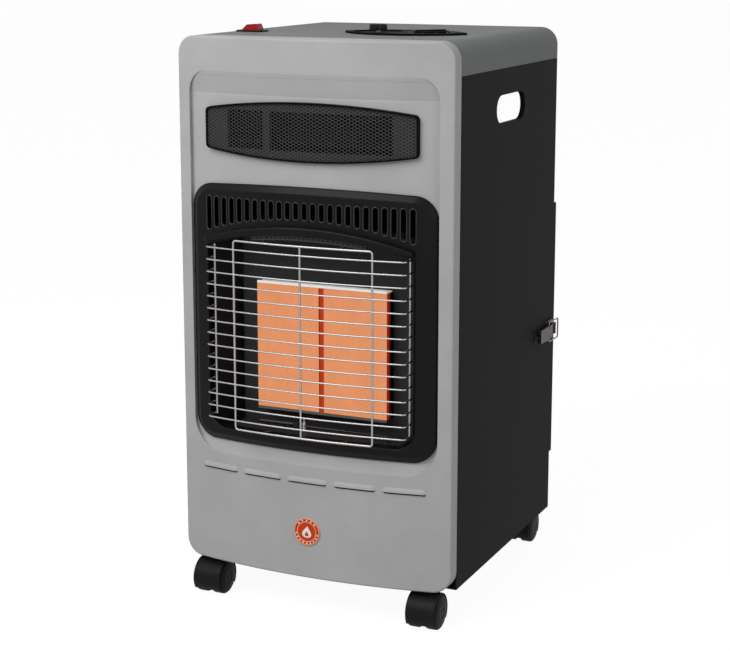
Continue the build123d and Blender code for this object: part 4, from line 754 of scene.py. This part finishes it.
class HEATER_OT_roll_wheels(Operator):
    """Castor wheels: a rounded profile turned about the axle, with a smooth domed outer face"""

    bl_idname = "heater.roll_wheels"
    bl_label = "Roll wheels"

    def execute(self, context):
        # radius and distance out from the castor's middle, in millimetres
        profile = np.array(
            (
                (0.0, 20.6), (3.1, 20.6), (3.1, 5.6), (9.0, 5.6), (9.8, 7.4), (19.0, 7.4), (20.0, 5.6),
                (23.5, 5.6), (24.6, 6.1), (25.0, 7.1), (25.0, 18.6), (24.8, 19.4), (24.4, 20.1),
                (23.8, 20.8), (23.0, 21.4), (22.0, 21.9), (21.0, 22.25), (20.0, 22.5), (19.0, 22.6),
                (16.5, 23.1), (14.0, 23.5), (11.0, 23.75), (6.0, 23.8), (5.6, 23.6), (5.2, 23.8), (0.0, 23.8),
            )
        ) / 1000
        rings = turned(profile, 72)
        tone = scaled(tuple(context.scene.heater_finishes.plastic), 0.8)
        nylon = grained("wheel_nylon", tone, 0.45, Specular_IOR_Level=0.04)
        for place, (x, y) in CASTORS.items():
            for side, sign in (("left", -1), ("right", 1)):
                # the profile's axis is laid along X and pointed away from the castor's middle
                out, along, up = sign * rings[..., 2], rings[..., 0], rings[..., 1]
                points = np.stack((x + out, y + along, WHEEL_RADIUS + up), axis=-1)
                name = f"{place}_castor_{side}_wheel"
                wheel = skin(f"{name}_turned", points, around=True, inward=sign < 0)
                fit(wheel, name, "wheel_plastic", nylon, name)
        return {"FINISHED"}


class HEATER_OT_fire_badge(Operator):
    """Round enamel badge: a turned disc with raised rings, two arcs of studs and a plain flame"""

    bl_idname = "heater.fire_badge"
    bl_label = "Fire badge"

    @staticmethod
    def flame(wide, tall, lean):
        """A domed teardrop: the half width follows the sine of the sweep times a power of the sine
        of half of it, so it closes to a point at the top, which leans to one side."""
        sweep = np.linspace(0, 2 * np.pi, 48, endpoint=False)[None]
        grow = np.linspace(1, 0, 7)[:, None]
        across = wide * np.sin(sweep) * np.abs(np.sin(sweep / 2)) ** 1.4
        across = across + lean * np.clip(np.cos(sweep), 0, 1) ** 2
        rise = np.sqrt(np.clip(1 - grow**2, 0, 1)) + 0 * sweep
        return np.stack((grow * across, -rise, grow * tall * np.cos(sweep)), axis=-1)

    def execute(self, context):
        # radius and height over the badge's seat, in millimetres
        profile = np.array(
            (
                (0.0, -0.9), (19.5, -0.9), (20.0, -0.5), (20.0, 1.2), (19.8, 1.6), (19.3, 1.85),
                (18.8, 1.85), (18.3, 1.6), (18.1, 1.35), (15.6, 1.35), (15.2, 1.7), (14.9, 1.8),
                (14.2, 1.8), (13.9, 1.7), (13.5, 1.3), (9.0, 1.4), (0.0, 1.5),
            )
        ) / 1000
        disc = turned(profile, 96)
        disc = np.stack((disc[..., 0], -disc[..., 2], disc[..., 1]), axis=-1) + BADGE
        printed = badge_print(context.scene.heater_badge)
        fit(skin("badge_disc", disc, around=True), "cabinet", "badge_enamel", printed, "badge")
        white = grained("badge_white", shade(240, 234, 228), 0.35, drift=300.0)
        # studs: low domes, five above and nine below
        stand = np.radians(np.concatenate((90 + np.linspace(-46, 46, 5), -90 + np.linspace(-78, 78, 9))))
        reach = 0.0168
        spot = np.stack((reach * np.cos(stand), 0 * stand - 0.0013, reach * np.sin(stand)), axis=-1)
        studs = spot[:, None, None] + pearl(7, 12) * (0.0012, 0.0005, 0.0012) + BADGE
        fit(skin("badge_studs", studs, around=True), "cabinet", "badge_enamel", white)
        flame = self.flame(0.0100, 0.0086, 0.0012) * (1, 0.0004, 1) + BADGE - (0, 0.0014, 0)
        fit(skin("badge_flame", flame, around=True), "cabinet", "badge_enamel", white)
        ember = grained("badge_ember", scaled(tuple(context.scene.heater_badge.band), 0.8), 0.35, drift=300.0)
        heart = self.flame(0.0046, 0.0042, 0.0006) * (1, 0.0003, 1) + BADGE - (0, 0.0016, 0.0024)
        fit(skin("badge_heart", heart, around=True), "cabinet", "badge_enamel", ember)
        return {"FINISHED"}


class HEATER_OT_drive_screws(Operator):
    """Pan-head screws with a cross recess on the back flanges"""

    bl_idname = "heater.drive_screws"
    bl_label = "Drive screws"

    def execute(self, context):
        # radius and height over the sheet, in millimetres
        radius = np.array((3.8, 3.8, 3.5, 2.9, 2.2, 1.9, 1.5, 1.1, 0.8, 0.55, 0.3, 0.0))[:, None] / 1000
        height = np.array((0.0, 0.9, 1.5, 1.9, 2.05, 2.1, 2.12, 2.14, 2.15, 2.15, 2.15, 2.15))[:, None] / 1000
        angle = np.linspace(0, 2 * np.pi, 48, endpoint=False)[None]
        x, z = radius * np.cos(angle), radius * np.sin(angle)
        # cross recess: the head sinks where either coordinate is small
        slot = (np.minimum(np.abs(x), np.abs(z)) < 0.00036) & (radius < 0.0021)
        height = np.where(slot, height - 0.0011, height)
        head = np.stack((x, height, z), axis=-1)
        back, column, levels = 0.22702, 0.199, (0.03, 0.074, 0.53, 0.69)
        places = np.array([(side * column, back, LIFT + z) for side in (-1, 1) for z in levels])
        heads = skin("screw_heads", places[:, None, None] + head, around=True, inward=True)
        zinc = brushed("screw_zinc", shade(168, 168, 165), 0.32, along=(30.0, 30.0, 30.0))
        fit(heads, "cabinet", "screw_steel", zinc, "screws")
        return {"FINISHED"}


class HEATER_OT_set_stage(Operator):
    """White floor and backdrop, soft light and the camera"""

    bl_idname = "heater.set_stage"
    bl_label = "Set stage"

    @staticmethod
    def backdrop_rays(tree):
        """1 for the rays that look at the backdrop, from the camera or by way of metal or glass."""
        rays = knot(tree, "ShaderNodeLightPath").outputs
        mirrored = reckon(tree, "MAXIMUM", rays["Is Glossy Ray"], rays["Is Transmission Ray"])
        return reckon(tree, "MAXIMUM", rays["Is Camera Ray"], mirrored)

    def execute(self, context):
        studio = context.scene.heater_studio
        scene = context.scene
        scene.view_settings.view_transform = "Standard"

        world = bpy.data.worlds.new("studio_sky")
        scene.world = world
        world.use_nodes = True
        tree = world.node_tree
        light = tree.nodes["Background"]
        light.inputs["Color"].default_value = (1, 1, 1, 1)
        light.inputs["Strength"].default_value = studio.sky
        plain = knot(tree, "ShaderNodeBackground", {"Color": (1, 1, 1, 1), "Strength": 1.0})
        join = knot(tree, "ShaderNodeMixShader", {"Fac": self.backdrop_rays(tree)})
        tree.links.new(light.outputs[0], join.inputs[1])
        tree.links.new(plain.outputs[0], join.inputs[2])
        tree.links.new(join.outputs[0], tree.nodes["World Output"].inputs["Surface"])

        span = np.linspace(-40, 40, 3)
        x, y = np.meshgrid(span, span, indexing="xy")
        floor = skin("floor", np.stack((x, y, 0 * x - 0.0002), axis=-1))
        pale = bpy.data.materials.new("pale_floor")
        pale.use_nodes = True
        tree = pale.node_tree
        main = tree.nodes["Principled BSDF"]
        main.inputs["Base Color"].default_value = (0.5, 0.5, 0.5, 1)
        main.inputs["Roughness"].default_value = 1.0
        main.inputs["Specular IOR Level"].default_value = 0.0
        # a backdrop ray sees three parts of even glow, which is white, to one of lit floor with its shadow
        lift = knot(tree, "ShaderNodeEmission", {"Color": (1, 1, 1, 1), "Strength": 1.26})
        share = reckon(tree, "MULTIPLY", self.backdrop_rays(tree), 0.75)
        join = knot(tree, "ShaderNodeMixShader", {"Fac": share})
        tree.links.new(main.outputs[0], join.inputs[1])
        tree.links.new(lift.outputs[0], join.inputs[2])
        tree.links.new(join.outputs[0], tree.nodes["Material Output"].inputs["Surface"])
        floor.data.materials.append(pale)

        for name, place, aim, size, power in (
            ("key_light", (-0.6, -1.7, 2.1), (0, -0.2, 0.55), (1.6, 1.6), studio.key),
            ("fill_light", (2.7, -0.9, 1.4), (0.2, 0, 0.45), (1.6, 1.6), studio.fill),
            ("band_light", (-0.85, -2.1, 1.4), (0, -0.2, 0.6), (1.8, 0.14), studio.band),
        ):
            lamp = bpy.data.lights.new(name, "AREA")
            lamp.shape = "RECTANGLE"
            lamp.size, lamp.size_y = size
            lamp.energy = power
            holder = bpy.data.objects.new(name, lamp)
            scene.collection.objects.link(holder)
            holder.location = place
            run = np.array(aim) - np.array(place)
            holder.rotation_euler = (
                math.atan2(math.hypot(run[0], run[1]), -run[2]),
                0,
                math.atan2(-run[0], run[1]),
            )

        eye = bpy.data.cameras.new("camera")
        eye.lens = studio.lens
        eye.sensor_width = 36
        eye.shift_y = studio.rise
        eye.clip_end = 200
        holder = bpy.data.objects.new("camera", eye)
        scene.collection.objects.link(holder)
        holder.location = studio.camera
        holder.rotation_euler = (math.pi / 2 - studio.dip, 0, studio.turn)
        scene.camera = holder
        return {"FINISHED"}


class HEATER_PT_pieces(Panel):
    """Pieces and finishes of the heater"""

    bl_label = "Cabinet heater"
    bl_idname = "HEATER_PT_pieces"
    bl_space_type = "VIEW_3D"
    bl_region_type = "UI"
    bl_category = "Heater"

    def draw(self, context):
        for step in STEPS:
            self.layout.operator(step.bl_idname)
        for key in SETTINGS:
            group = getattr(context.scene, key)
            box = self.layout.box()
            for name in group.__annotations__:
                box.prop(group, name)


SETTINGS = {
    "heater_finishes": CabinetFinishes,
    "heater_grille": GrilleSizes,
    "heater_glow": BurnerGlow,
    "heater_badge": BadgeColours,
    "heater_controls": ControlSizes,
    "heater_studio": StudioSettings,
}
STEPS = (
    HEATER_OT_paint_cabinet,
    HEATER_OT_weave_grille,
    HEATER_OT_rim_slots,
    HEATER_OT_light_burner,
    HEATER_OT_weld_guard,
    HEATER_OT_turn_controls,
    HEATER_OT_roll_wheels,
    HEATER_OT_fire_badge,
    HEATER_OT_drive_screws,
    HEATER_OT_set_stage,
)


def register():
    """Adds the settings, the steps and the panel."""
    for kind in (*SETTINGS.values(), *STEPS, HEATER_PT_pieces):
        bpy.utils.register_class(kind)
    for key, kind in SETTINGS.items():
        setattr(bpy.types.Scene, key, PointerProperty(type=kind))


def unregister():
    """Takes them away again."""
    for key in SETTINGS:
        delattr(bpy.types.Scene, key)
    for kind in reversed((*SETTINGS.values(), *STEPS, HEATER_PT_pieces)):
        bpy.utils.unregister_class(kind)


def main():
    """Runs every step in order."""
    register()
    for step in STEPS:
        group, name = step.bl_idname.split(".")
        getattr(getattr(bpy.ops, group), name)()
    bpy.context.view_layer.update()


if __name__ == "__main__":
    main()
